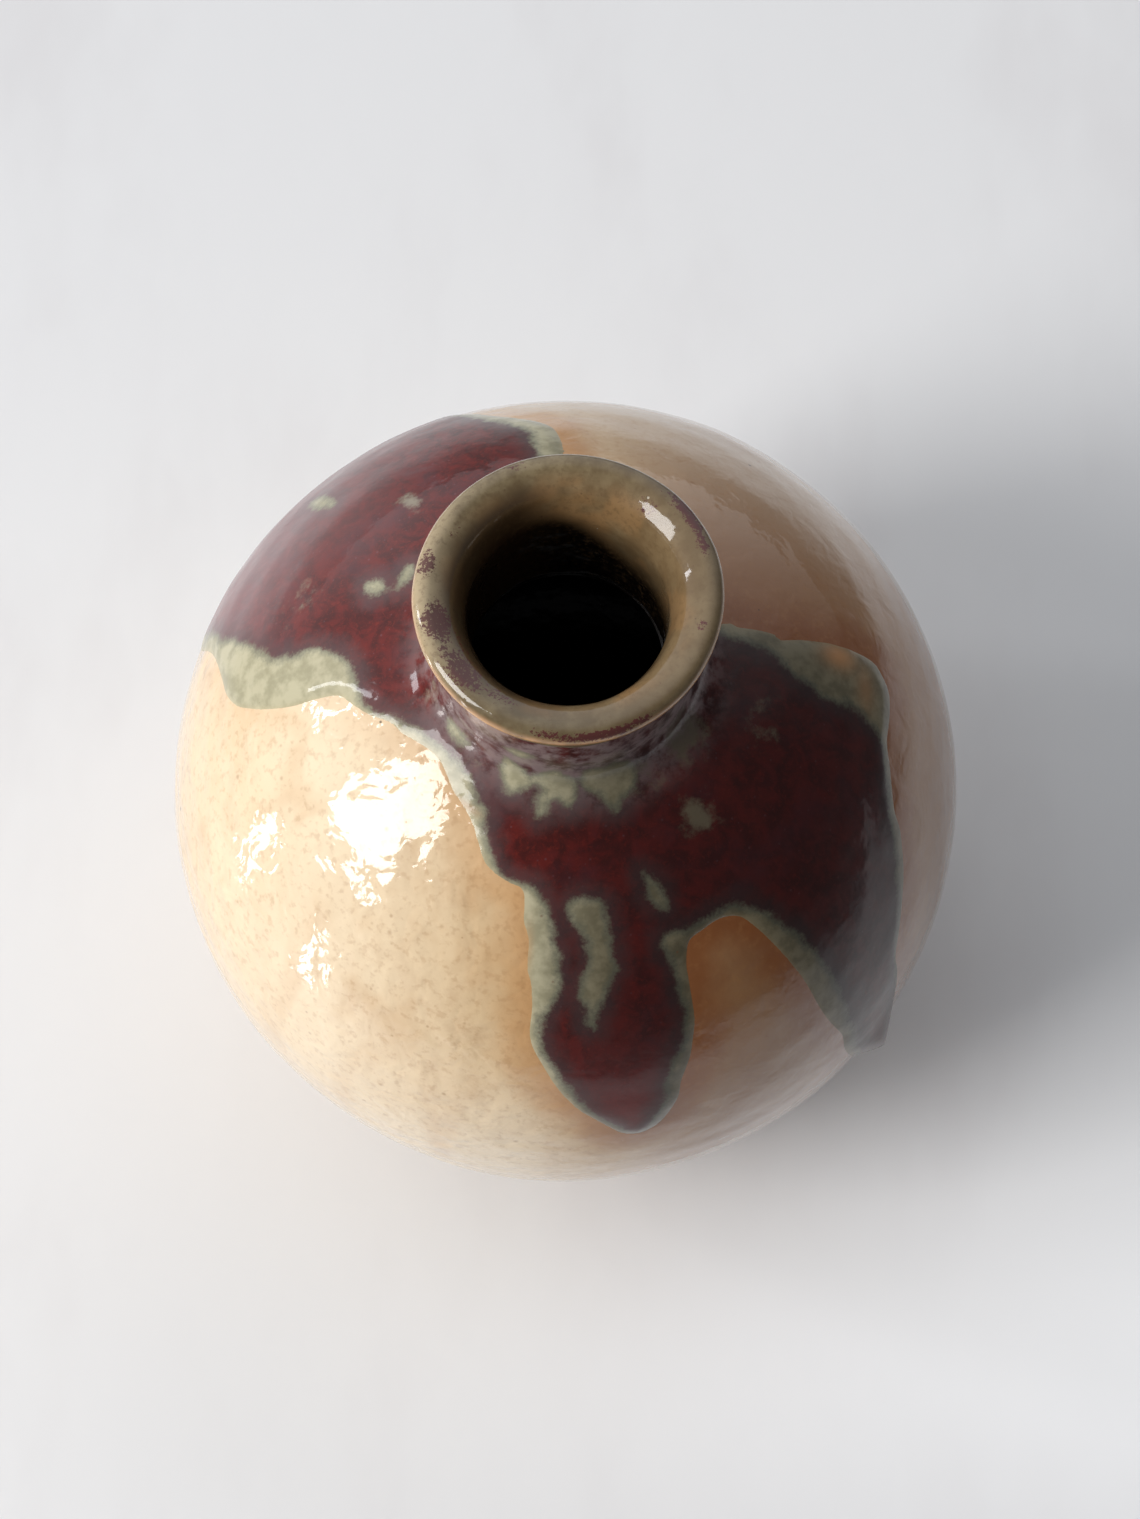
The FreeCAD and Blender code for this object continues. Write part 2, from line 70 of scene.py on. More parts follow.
# Edge of the poured glaze and, inside it, of its red part: (azimuth, down). Both start at the back
# of the neck and go round by the left, so that azimuths past 360 lie on the right again.
POUR_EDGE = (
    (88, 0.3), (88.5, 10), (90, 28), (90.5, 31.5), (92, 35), (95, 38), (99, 40.8), (102, 43),
    (104.5, 47), (106.5, 51), (108, 58), (112, 66), (118, 72), (124, 73), (129, 67), (134, 64),
    (140, 69), (146, 77), (152, 79), (157, 72), (161, 66), (163.5, 62), (165, 58), (166.5, 54),
    (169, 50.5), (173, 47.7), (177, 45.6), (180, 43), (182, 39.9), (184, 36), (185.5, 32),
    (186, 28.5), (187, 25.5), (190, 24), (195, 22), (200, 19.8), (205, 19), (210, 18),
    (215, 17.3), (220, 17.1), (225, 17.6), (230, 18.5), (235, 19.2), (240, 20.3), (244, 22),
    (248, 24), (252, 25), (256, 25.6), (259, 26.2), (260, 29.5), (261.5, 31.5), (262, 35.3),
    (263, 37.4), (263.5, 40.5), (263.5, 44.4), (264.5, 46.9), (266.5, 50), (268.5, 53.3),
    (271, 56.5), (273.5, 59), (276, 61.5), (278, 63.5), (280.5, 64.3), (283, 63.2), (285, 61),
    (287, 57.8), (288, 54.6), (290, 51), (291, 48.5), (292, 45.7), (292.5, 43), (293, 39.6),
    (293.5, 37.4), (295, 35.1), (298, 34.5), (302, 34.3), (305.5, 35.5), (307.5, 38.6),
    (308.5, 41.2), (309.5, 44.4), (310.5, 49.5), (311, 55), (312, 60), (313.4, 65),
    (313.6, 70), (315, 75), (317, 80), (319, 85), (321.5, 87), (324, 85), (325, 80),
    (325.5, 75), (326, 70), (327, 65), (327.5, 61.5), (330, 58.4), (332.5, 56), (335.5, 53.3),
    (339, 50.1), (341, 48.2), (343, 45.7), (346, 44), (349, 42.8), (353, 41.5), (358, 41.8),
    (362, 41.9), (365, 40.9), (367.5, 39.3), (368.7, 37), (369.5, 34), (370, 31), (370, 27),
    (369.5, 24), (371, 23.3), (372.5, 20.8), (373.5, 18.6), (375, 17.3), (376, 12), (377, 5),
    (377, 0.3),
)
RED_EDGE = (
    (94, -3), (95, 12), (97, 28), (97.5, 32), (99, 35), (102, 38), (105, 41), (107, 45),
    (108.5, 49), (110, 55), (114, 64), (119, 69), (124, 70), (128, 65), (134, 61), (140, 66),
    (146, 74), (151, 76), (155, 70), (159, 64), (162, 57), (163.5, 52), (165.5, 49), (167, 44),
    (169, 40.8), (171, 38), (173, 36), (173.5, 33), (172.8, 30), (173.5, 27), (176, 24.5),
    (179, 23.5), (182, 22.7), (186, 22.5), (190, 22), (193, 21), (200, 18.3), (205, 16.8),
    (210, 16), (220, 15.2), (230, 15.3), (235, 16), (240, 17.3), (243, 18.2), (246, 20),
    (249, 22), (252, 23.8), (256, 24.6), (260, 25), (263, 25.2), (265.5, 27.2), (267.5, 29.5),
    (268.5, 31.6), (268.8, 35), (268.5, 38), (267.5, 39.8), (266.3, 41.8), (266, 43.7),
    (267, 46.9), (269, 50), (271, 53), (273, 56), (275, 58.5), (277.5, 61), (280, 62.5),
    (282, 61.2), (283.5, 58.5), (284.5, 56), (285.5, 53), (286.5, 50.5), (288, 48.8),
    (289.2, 46), (289.7, 43.5), (290, 40), (290, 37), (289.5, 34.8), (290, 32.9), (291.5, 32.5),
    (294, 32.9), (298, 33), (302, 32.8), (306, 33), (309, 35), (311.5, 38), (313.5, 42),
    (315, 46), (315.5, 50), (315.6, 54), (315.6, 60), (316, 66), (315.8, 70), (316.6, 75),
    (318.4, 80), (320, 85.4), (321.8, 86), (323.4, 82), (324.6, 76), (325, 70), (325.8, 64),
    (327.2, 59), (330, 55.5),
    (334, 51), (338, 47), (341, 44.5), (345, 42), (350, 40.2), (353, 38.6), (355.5, 34),
    (355.5, 30), (357, 27.2), (359, 25), (364, 22), (366, 19.5), (368, 17), (370, 14),
    (371, 6), (372, -3),
)
# Grey-green windows in the red: closed outlines, then ovals (azimuth, down, half width in degrees,
# half height in mm, lean in degrees per mm).
LONG_WINDOW = (
    (271, 26.5), (275, 26.3), (279, 27), (279.5, 31), (279.7, 35), (278.5, 37), (277, 39),
    (275.5, 41), (275, 43.5), (273.7, 43), (273.5, 40.5), (272, 39), (272.2, 37), (274, 34.5),
    (273.7, 31.5), (272.5, 30), (271, 28.5),
)
FRONT_PATCH = (
    (242, 10.5), (245, 9.5), (250, 10.8), (255, 12), (260, 10.5), (265, 9.8), (270, 10.8),
    (274, 12), (274.5, 14.5), (271, 16), (266.5, 15.2), (264, 16.4), (260.5, 17), (258, 15.4),
    (260, 13.8), (257, 13.2), (253, 14.6), (249, 15.6), (245, 14.8), (242.5, 13.4),
)
SIDE_PATCH = (
    (276, 11), (281, 10), (287, 10.4), (293, 10), (298, 11.5), (299, 14), (295, 15.4),
    (291, 16), (288, 17), (285, 16.4), (282, 14.6), (278.5, 14), (276, 13),
)
OVAL_WINDOWS = (
    (291.0, 27.5, 1.7, 2.7, 0.35),
    (219.0, 12.3, 7.0, 1.3, 0.0),
    (250.0, 6.8, 6.5, 1.3, 0.0),
    (155.5, 22.5, 2.6, 1.9, 0.0),
    (150.0, 19.6, 5.0, 0.8, 0.0),
    (138.0, 44.0, 1.8, 4.0, 0.0),
)
# Fainter grey-green bloom on the red: (azimuth, down, half width in degrees, half height, amount).
BLOOMS = (
    (199, 12.5, 6, 1.4, 0.5), (130, 28, 2.4, 2.4, 0.6), (343, 22, 8, 3.0, 0.35),
    (310, 21.6, 5, 2.4, 0.95), (300, 14.5, 10, 2.5, 0.4), (232, 14.2, 6, 1.2, 0.35),
    (285, 8, 14, 2.0, 0.25), (160, 33, 8, 6.0, 0.18), (324, 13.5, 12, 3.2, 0.75),
)
# Thin places in the grey-green edge where the glaze below shows through, in the same terms.
CREAMS = (
    (366.5, 32.5, 3.0, 2.6, 0.8), (361, 36.5, 5.0, 1.6, 0.35),
    (262, 33, 1.2, 3.0, 0.5), (236, 18.8, 8.0, 0.5, 0.5),
)
# Swollen glass at the lower ends of the runs: (azimuth, down, reach in mm, extra thickness).
BEADS = (
    (280.5, 60.5, 5.5, 0.42), (321, 81.5, 6.0, 2.6), (319, 74, 5.0, 0.2), (152, 74, 6.0, 0.5),
    (122, 69, 5.5, 0.4), (299, 33.6, 5.0, 0.2), (352, 39.5, 6.0, 0.2), (167, 50, 6.0, 0.22),
)
# Red flecks on the lip: (azimuth, over, half width in degrees, half height in mm, amount).
FLECKS = (
    (168, 7.0, 6, 1.0, 0.85), (194, 8.3, 9, 1.7, 1.0), (208, 8.0, 5, 0.7, 0.6),
    (219, 8.4, 11, 1.7, 0.9), (237, 8.9, 9, 0.9, 0.6), (112, 6.6, 5, 0.8, 0.5),
    (36, 6.7, 11, 0.8, 0.95), (22, 7.1, 6, 0.6, 0.8), (282, 6.0, 17, 0.6, 0.95),
    (262, 6.3, 7, 0.5, 0.7), (298, 6.1, 6, 0.5, 0.8), (345, 7.8, 3, 0.7, 0.55),
    (50, 9.4, 5, 1.0, 0.5), (205, 10.2, 10, 1.3, 0.45), (150, 8.4, 5, 0.5, 0.4),
)


def smooth_between(low, high, value):
    """0 below low, 1 above high, and a soft step between."""
    part = np.clip((value - low) / (high - low), 0.0, 1.0)
    return part * part * (3.0 - 2.0 * part)


def noise_at(points, size, seed=0.0):
    """Gentle noise from about -1 to 1 at each point, with lumps of a given size in mm."""
    shift = Vector((seed * 17.3, seed * 9.1, seed * 5.7))
    return np.array([noise.noise(Vector(p) / size + shift) for p in points.reshape(-1, 3)]).reshape(
        points.shape[:-1]
    )


def outside(azimuth, down):
    """Points and outward normals of the glazed outside, for arrays of places on it."""
    azimuth, down = np.radians(azimuth), np.asarray(down, float)
    hollow = np.clip((down - NECK_LENGTH) / FILLET_R, 0.0, FILLET_TURN)
    tilt = np.where(down > SHOULDER, FILLET_TURN - (down - SHOULDER) / BELLY_R, hollow)
    neck_z = UNDER_Z - np.minimum(down, NECK_LENGTH)
    across = np.where(
        down > SHOULDER, BELLY_R * np.cos(tilt), FILLET_X - FILLET_R * np.cos(hollow)
    )
    height = np.where(
        down > SHOULDER, BELLY_Z + BELLY_R * np.sin(tilt), neck_z - FILLET_R * np.sin(hollow)
    )
    points = np.stack([across * np.cos(azimuth), across * np.sin(azimuth), height], -1)
    level = np.cos(tilt)
    normals = np.stack([level * np.cos(azimuth), level * np.sin(azimuth), np.sin(tilt)], -1)
    return points, normals


def lip_section(over):
    """Distance from the axis, height, and normal of the lip and throat, for distances over it."""
    across, height, out, up = (np.zeros_like(over) for _ in range(4))
    stretches = (
        (over < UNDER_END, UNDER_X, UNDER_Z, UNDER_R, math.pi - over / UNDER_R, -1),
        ((over >= UNDER_END) & (over < EDGE_END), EDGE_X, EDGE_Z, EDGE_R,
         UNDER_TURN - math.pi + (over - UNDER_END) / EDGE_R, 1),
        ((over >= EDGE_END) & (over < FLARE_END), FLARE_X, FLARE_Z, FLARE_R,
         FLARE_TURN + (over - EDGE_END) / FLARE_R, 1),
    )
    for here, x, z, radius, turn, side in stretches:
        across[here] = (x + radius * np.cos(turn))[here]
        height[here] = (z + radius * np.sin(turn))[here]
        out[here] = (side * np.cos(turn))[here]
        up[here] = (side * np.sin(turn))[here]
    down_throat = over >= FLARE_END
    across[down_throat] = THROAT_R
    height[down_throat] = FLARE_Z - (over[down_throat] - FLARE_END)
    out[down_throat] = -1.0
    return across, height, out, up


def hand_thrown(points, normals, amount=1.0):
    """Moves points off the true shape as a thrown and warped pot is off it, by a few tenths."""
    height = points[..., 2]
    azimuth = np.arctan2(points[..., 1], points[..., 0])
    on_belly = 1.0 - smooth_between(92.0, 101.0, height)
    swell = 0.20 * noise_at(points, 34.0, 1) + 0.09 * noise_at(points, 13.0, 2)
    ripple = 0.050 * noise_at(points, 5.5, 3) + 0.014 * noise_at(points, 2.4, 4)
    rings = np.sin(2 * math.pi * (height / 5.2 + azimuth / (2 * math.pi)))
    throwing = 0.035 * rings * (0.5 + noise_at(points, 18.0, 5))
    flat = -0.28 * np.exp(-((np.degrees(azimuth) + 70.0) / 22.0) ** 2) * on_belly
    moved = (swell * (0.35 + 0.65 * on_belly) + ripple + throwing * on_belly + flat) * amount
    lip = smooth_between(98.0, 108.0, height)
    lean = np.zeros_like(points)
    lean[..., 0] = (0.22 + 0.10 * np.sin(3 * azimuth + 0.6)) * lip
    lean[..., 1] = (-0.05 + 0.10 * np.cos(2 * azimuth)) * lip
    lean[..., 2] = (0.14 * np.sin(azimuth - 0.5) + 0.07 * np.sin(4 * azimuth + 1.0)) * lip
    return points + normals * moved[..., None] + lean


def curve_through(corners, closed=False):
    """Smooth line through (azimuth, down) corners, as an array with steps of about CURVE_STEP."""
    corners = np.array(corners, float)
    if closed:
        ring = np.vstack([corners[-1], corners, corners[:2]])
    else:
        ring = np.vstack([2 * corners[0] - corners[1], corners, 2 * corners[-1] - corners[-2]])
    places = outside(ring[:, 0], ring[:, 1])[0]
    line = []
    for i in range(1, len(ring) - 2):
        before, start, end, after = ring[i - 1 : i + 3]
        steps = max(2, int(np.linalg.norm(places[i + 1] - places[i]) / CURVE_STEP))
        t = np.arange(steps)[:, None] / steps
        line.append(
            0.5 * (2 * start + (end - before) * t
                   + (2 * before - 5 * start + 4 * end - after) * t**2
                   + (3 * start - before - 3 * end + after) * t**3)
        )
    if not closed:
        line.append(corners[-1:])
    return np.vstack(line)


def laid_flat(azimuth, down):
    """Places on the outside laid out on a plane round the neck, where outlines can be tested."""
    reach = np.asarray(down) + NECK_R
    return np.stack([reach * np.cos(np.radians(azimuth)), reach * np.sin(np.radians(azimuth))], -1)


def is_inside(flat, outline):
    """Whether each flat point lies inside a closed flat outline."""
    x, y = flat[:, 0], flat[:, 1]
    inside = np.zeros(len(flat), bool)
    for (x0, y0), (x1, y1) in zip(outline, np.roll(outline, -1, axis=0)):
        if y0 != y1:
            crosses = ((y0 > y) != (y1 > y)) & (x < (x1 - x0) * (y - y0) / (y1 - y0) + x0)
            inside ^= crosses
    return inside


def distance_to(points, line):
    """Distance in mm from each point to a line of (azimuth, down) places."""
    marks = outside(line[:, 0], line[:, 1])[0]
    tree = kdtree.KDTree(len(marks))
    for index, mark in enumerate(marks):
        tree.insert(mark, index)
    tree.balance()
    return np.array([tree.find(p)[2] for p in points])


def signed_distance(points, flat, line):
    """Distance to a closed outline, above 0 inside it."""
    inside = is_inside(flat, laid_flat(line[:, 0], line[:, 1]))
    return distance_to(points, line) * np.where(inside, 1.0, -1.0)


def oval(azimuth, down, half_width, half_height, lean):
    """Outline of an oval on the outside."""
    turn = np.linspace(0, 2 * math.pi, 24, endpoint=False)
    high = down + half_height * np.sin(turn)
    wide = azimuth + half_width * np.cos(turn) + lean * (high - down)
    return np.stack([wide, high], -1)


def closed_by_the_neck(line, down):
    """Adds the way back round the neck to an edge that starts and ends there."""
    back = np.arange(line[-1, 0] - 1.0, line[0, 0], -1.5)
    return np.vstack([line, np.stack([back, np.full_like(back, down)], -1)])


def make_mesh(name, points, faces, values=None):
    """Mesh object in metres, with named values at its points."""
    mesh = bpy.data.meshes.new(name)
    mesh.from_pydata((np.asarray(points) * MM).tolist(), [], faces)
    mesh.validate()
    mesh.shade_smooth()
    for key, numbers in (values or {}).items():
        layer = mesh.attributes.new(key, "FLOAT", "POINT")
        layer.data.foreach_set("value", np.asarray(numbers, np.float32).ravel())
    piece = bpy.data.objects.new(name, mesh)
    bpy.context.scene.collection.objects.link(piece)
    return piece


def turned_faces(rows, columns):
    """Faces of a closed skin whose rows of points go round the axis and back inside it."""
    faces = []
    for row in range(rows):
        here, there = row * columns, (row + 1) % rows * columns
        for column in range(columns):
            beside = (column + 1) % columns
            faces.append((here + column, there + column, there + beside, here + beside))
    return faces


def around(columns):
    """Azimuths spread evenly round the axis."""
    return np.arange(columns) * 360.0 / columns


def turned(across, height, azimuth):
    """Rows of points round the axis, with a distance from it and a height for each row."""
    turn = np.radians(azimuth)
    level = np.broadcast_to(height[:, None], (len(height), len(turn)))
    return np.stack([across[:, None] * np.cos(turn), across[:, None] * np.sin(turn), level], -1)


def ragged_ring(azimuth):
    """Points of a circle of radius 1, where noise gives an edge that closes on itself."""
    return turned(np.ones(1), np.zeros(1), azimuth)[0]


def make_honey_coat(pour_line):
    """Honey glaze: a wavy rolled edge above the foot, and the hand-thrown surface over it."""
    columns, rows = 380, 186
    azimuth = np.broadcast_to(around(columns), (rows, columns))
    ragged = ragged_ring(around(columns))
    reach = GLAZE_FOOT - 0.8 + 0.9 * noise_at(ragged, 0.8, 6) + 0.5 * noise_at(ragged, 0.25, 7)
    # rows crowd together at the foot so that the rolled edge is round
    part = np.linspace(0.0, 1.0, rows)
    part = part * (1.0 + 0.18 * (1.0 - part))
    down = part[:, None] * reach[None, :]
    to_edge = reach[None, :] - down
    points, normals = outside(azimuth, down)
    roll = 0.28 * np.exp(-(((to_edge - 1.5) / 1.1) ** 2))
    fall = COAT * (1.0 - np.sqrt(1.0 - (1.0 - np.clip(to_edge / 0.9, 0.0, 1.0)) ** 2))
    skin = hand_thrown(points, normals) + normals * (roll - fall)[..., None]
    inner_rows = 64
    back = np.linspace(1.0, 0.0, inner_rows)[:, None] ** 1.5 * reach[None, :]
    lining, facing = outside(np.broadcast_to(around(columns), back.shape), back)
    lining = lining - facing * (COAT - 0.04)
    everything = np.vstack([skin.reshape(-1, 3), lining.reshape(-1, 3)])
    near = distance_to(points.reshape(-1, 3), pour_line)
    values = {
        "pour_distance": np.concatenate([near, np.full(inner_rows * columns, 50.0)]),
        "foot_distance": np.concatenate([to_edge.ravel(), np.zeros(inner_rows * columns)]),
    }
    return make_mesh("honey_glaze", everything, turned_faces(rows + inner_rows, columns), values)


def make_lip_coat():
    """Olive glaze over the lip and down the throat, lapping a little over the glaze below it."""
    columns, rows, inner_rows = 360, 150, 30
    azimuth = around(columns)
    ragged = ragged_ring(azimuth)
    lap = 1.3 + 0.7 * noise_at(ragged, 0.35, 8) + 0.35 * noise_at(ragged, 0.12, 9)
    lap_rows = 8
    below = np.linspace(1.0, 0.0, lap_rows, endpoint=False)[:, None] * lap[None, :]
    lapped, lap_normals = outside(np.broadcast_to(azimuth, below.shape), below)
    proud = 0.9 * np.sqrt(1.0 - (below / (lap[None, :] + 1e-6)) ** 2) - 0.12
    lapped = hand_thrown(lapped, lap_normals) + lap_normals * proud[..., None]
    over = np.linspace(0.0, 1.0, rows) ** 1.25 * THROAT_END
    across, height, out, up = lip_section(over)
    points, normals = turned(across, height, azimuth), turned(out, up, azimuth)
    thicker = 0.78 * (1.0 - smooth_between(0.0, 2.6, over))
    thicker += 0.40 * np.exp(-(((over - 10.4) / 1.9) ** 2))
    skin = hand_thrown(points, normals, 0.8) + normals * thicker[:, None, None]
    back_over = np.linspace(1.0, 0.0, inner_rows) * THROAT_END
    across, height, out, up = lip_section(back_over)
    depth = COAT - 0.05
    lining = turned(across - out * depth, height - up * depth, azimuth)
    lining = hand_thrown(lining, np.zeros_like(lining), 0.0)
    shade = np.zeros((rows, columns))
    for spot_azimuth, spot_over, half_width, half_height, amount in FLECKS:
        off = (azimuth - spot_azimuth + 180.0) % 360.0 - 180.0
        reach = (off[None, :] / half_width) ** 2 + ((over[:, None] - spot_over) / half_height) ** 2
        shade = np.maximum(shade, amount * np.exp(-(reach**1.5) * 0.7))
    everything = np.vstack([part.reshape(-1, 3) for part in (lapped, skin, lining)])
    places = np.concatenate([
        -below.ravel(), np.repeat(over, columns), np.repeat(back_over, columns)
    ])
    values = {
        "over_lip": places,
        "fleck": np.concatenate([
            np.zeros(lap_rows * columns), shade.ravel(), np.zeros(inner_rows * columns)
        ]),
    }
    total = lap_rows + rows + inner_rows
    return make_mesh("lip_glaze_skin", everything, turned_faces(total, columns), values)


def filling_points(outline, edge_line):
    """Flat points that fill an outline, closer together near its edge."""
    reach = np.abs(outline).max()
    chosen = []
    for spacing, nearest, farthest in ((0.42, 0.28, 2.3), (0.8, 2.3, 1e6)):
        rows = np.arange(-reach, reach, spacing * 0.866)
        columns = np.arange(-reach, reach, spacing)
        x, y = np.meshgrid(columns, rows)
        x = x + (np.arange(len(rows)) % 2)[:, None] * spacing / 2
        grid = np.stack([x.ravel(), y.ravel()], -1)
        grid = grid[np.hypot(grid[:, 0], grid[:, 1]) > NECK_R]
        grid = grid[is_inside(grid, outline)]
        azimuth, down = unrolled(grid)
        away = distance_to(outside(azimuth, down)[0], edge_line)
        chosen.append(grid[(away > nearest) & (away <= farthest)])
    return np.vstack(chosen)


def unrolled(flat):
    """Azimuth and distance down of flat points."""
    return np.degrees(np.arctan2(flat[:, 1], flat[:, 0])), np.hypot(flat[:, 0], flat[:, 1]) - NECK_R


def spots(table, azimuth, down):
    """Soft oval spots: the greatest amount that any spot of a table has at each place."""
    amount = np.zeros(np.shape(azimuth))
    for spot_azimuth, spot_down, half_width, half_height, most in table:
        off = (azimuth - spot_azimuth + 180.0) % 360.0 - 180.0
        reach = (off / half_width) ** 2 + ((down - spot_down) / half_height) ** 2
        amount = np.maximum(amount, most * np.exp(-reach))
    return amount


def make_pour(edge_line):
    """Poured glaze: a closed skin on the honey glaze, thin at its edge and beaded at its ends."""
    outline = laid_flat(edge_line[:, 0], edge_line[:, 1])
    inner = filling_points(outline, edge_line)
    corners = [Vector(p) for p in np.vstack([outline, inner])]
    border = list(range(len(outline)))
    sewn = geometry.delaunay_2d_cdt(corners, [], [border], 1, 1e-5)
    flat = np.array([tuple(v) for v in sewn[0]])
    triangles = [tuple(face) for face in sewn[2]]
    azimuth, down = unrolled(flat)
    azimuth = azimuth % 360.0
    points, normals = outside(azimuth, down)
    away = distance_to(points, edge_line)
    swelling = np.zeros(len(points))
    for bead_azimuth, bead_down, reach, extra in BEADS:
        heart = outside(np.array([bead_azimuth]), np.array([bead_down]))[0][0]
        off = np.linalg.norm(points - heart, axis=1) / reach
        swelling = np.maximum(swelling, extra * np.exp(-(off**2)))
    lumps = 1.0 + 0.22 * noise_at(points, 9.0, 11) + 0.10 * noise_at(points, 3.5, 12)
    depth = (0.24 * lumps + swelling) * (0.45 + 0.55 * smooth_between(1.0, 6.0, down))
    crown = 1.0 - (1.0 - np.clip(away / (2.4 + 1.8 * swelling), 0.0, 1.0)) ** 2.0
    surface = hand_thrown(points, normals)
    front = surface + normals * (-0.10 + (depth + 0.10) * crown)[:, None]
    rear = surface - normals * 0.32
    red_line = curve_through(RED_EDGE)
    red = signed_distance(points, flat, closed_by_the_neck(red_line, -3.0))
    windows = [curve_through(w, closed=True) for w in (LONG_WINDOW, FRONT_PATCH, SIDE_PATCH)]
    windows += [curve_through(oval(*numbers), closed=True) for numbers in OVAL_WINDOWS]
    for window in windows:
        red = np.minimum(red, -signed_distance(points, flat, window))
    bloom = spots(BLOOMS, azimuth, down)
    cream = spots(CREAMS, azimuth, down)
    count = len(points)
    sides = [pair for a, b, c in triangles for pair in ((a, b), (b, c), (c, a))]
    known = set(sides)
    rim = [(a, b) for a, b in sides if (b, a) not in known]
    faces = triangles + [(c + count, b + count, a + count) for a, b, c in triangles]
    faces += [(b, a, a + count, b + count) for a, b in rim]
    values = {
        "red_distance": np.tile(red, 2),
        "edge_distance": np.tile(away, 2),
        "bloom": np.tile(bloom, 2),
        "cream": np.tile(cream, 2),
        "down_from_neck": np.tile(down, 2),
    }
    return make_mesh("poured_red_glaze", np.vstack([front, rear]), faces, values)


def make_foot():
    """Turned foot ring with rubbed round edges, a flat tread and faint trimming marks."""
    seat = BELLY_R - COAT
    section = [
        (20.75, 3.1), (20.85, 2.2), (20.95, 1.3), (21.1, 0.75), (21.4, 0.3), (21.85, 0.05),
        (22.4, 0.0), (23.7, 0.0), (25.0, 0.0), (25.6, 0.06), (26.05, 0.3), (26.32, 0.75),
        (26.42, 1.4), (26.5, 2.1), (26.38, 2.6), (26.5, 3.1), (26.42, 3.9), (26.55, 4.6),
    ]
    across = [26.9, 26.0, 24.5, 23.0, 21.6]
    section += [(x, BELLY_Z - math.sqrt(seat**2 - x**2) + 0.12) for x in across]
    section = np.array(section)
    dense = []
    for start, end in zip(section, np.roll(section, -1, axis=0)):
        steps = max(1, int(np.linalg.norm(end - start) / 0.4))
        dense += [start + (end - start) * i / steps for i in range(steps)]
    dense = np.array(dense)
    columns = 300
    points = turned(dense[:, 0], dense[:, 1], around(columns))
    rough = 0.07 * noise_at(points, 1.6, 21) + 0.08 * noise_at(points, 9.0, 22)
    outward = points * np.array([1.0, 1.0, 0.0])
    outward /= np.linalg.norm(outward, axis=-1, keepdims=True)
    low = smooth_between(0.0, 0.6, points[..., 2])
    points = points + outward * (rough * low)[..., None]
    return make_mesh("foot_ring_turned", points.reshape(-1, 3), turned_faces(len(dense), columns))


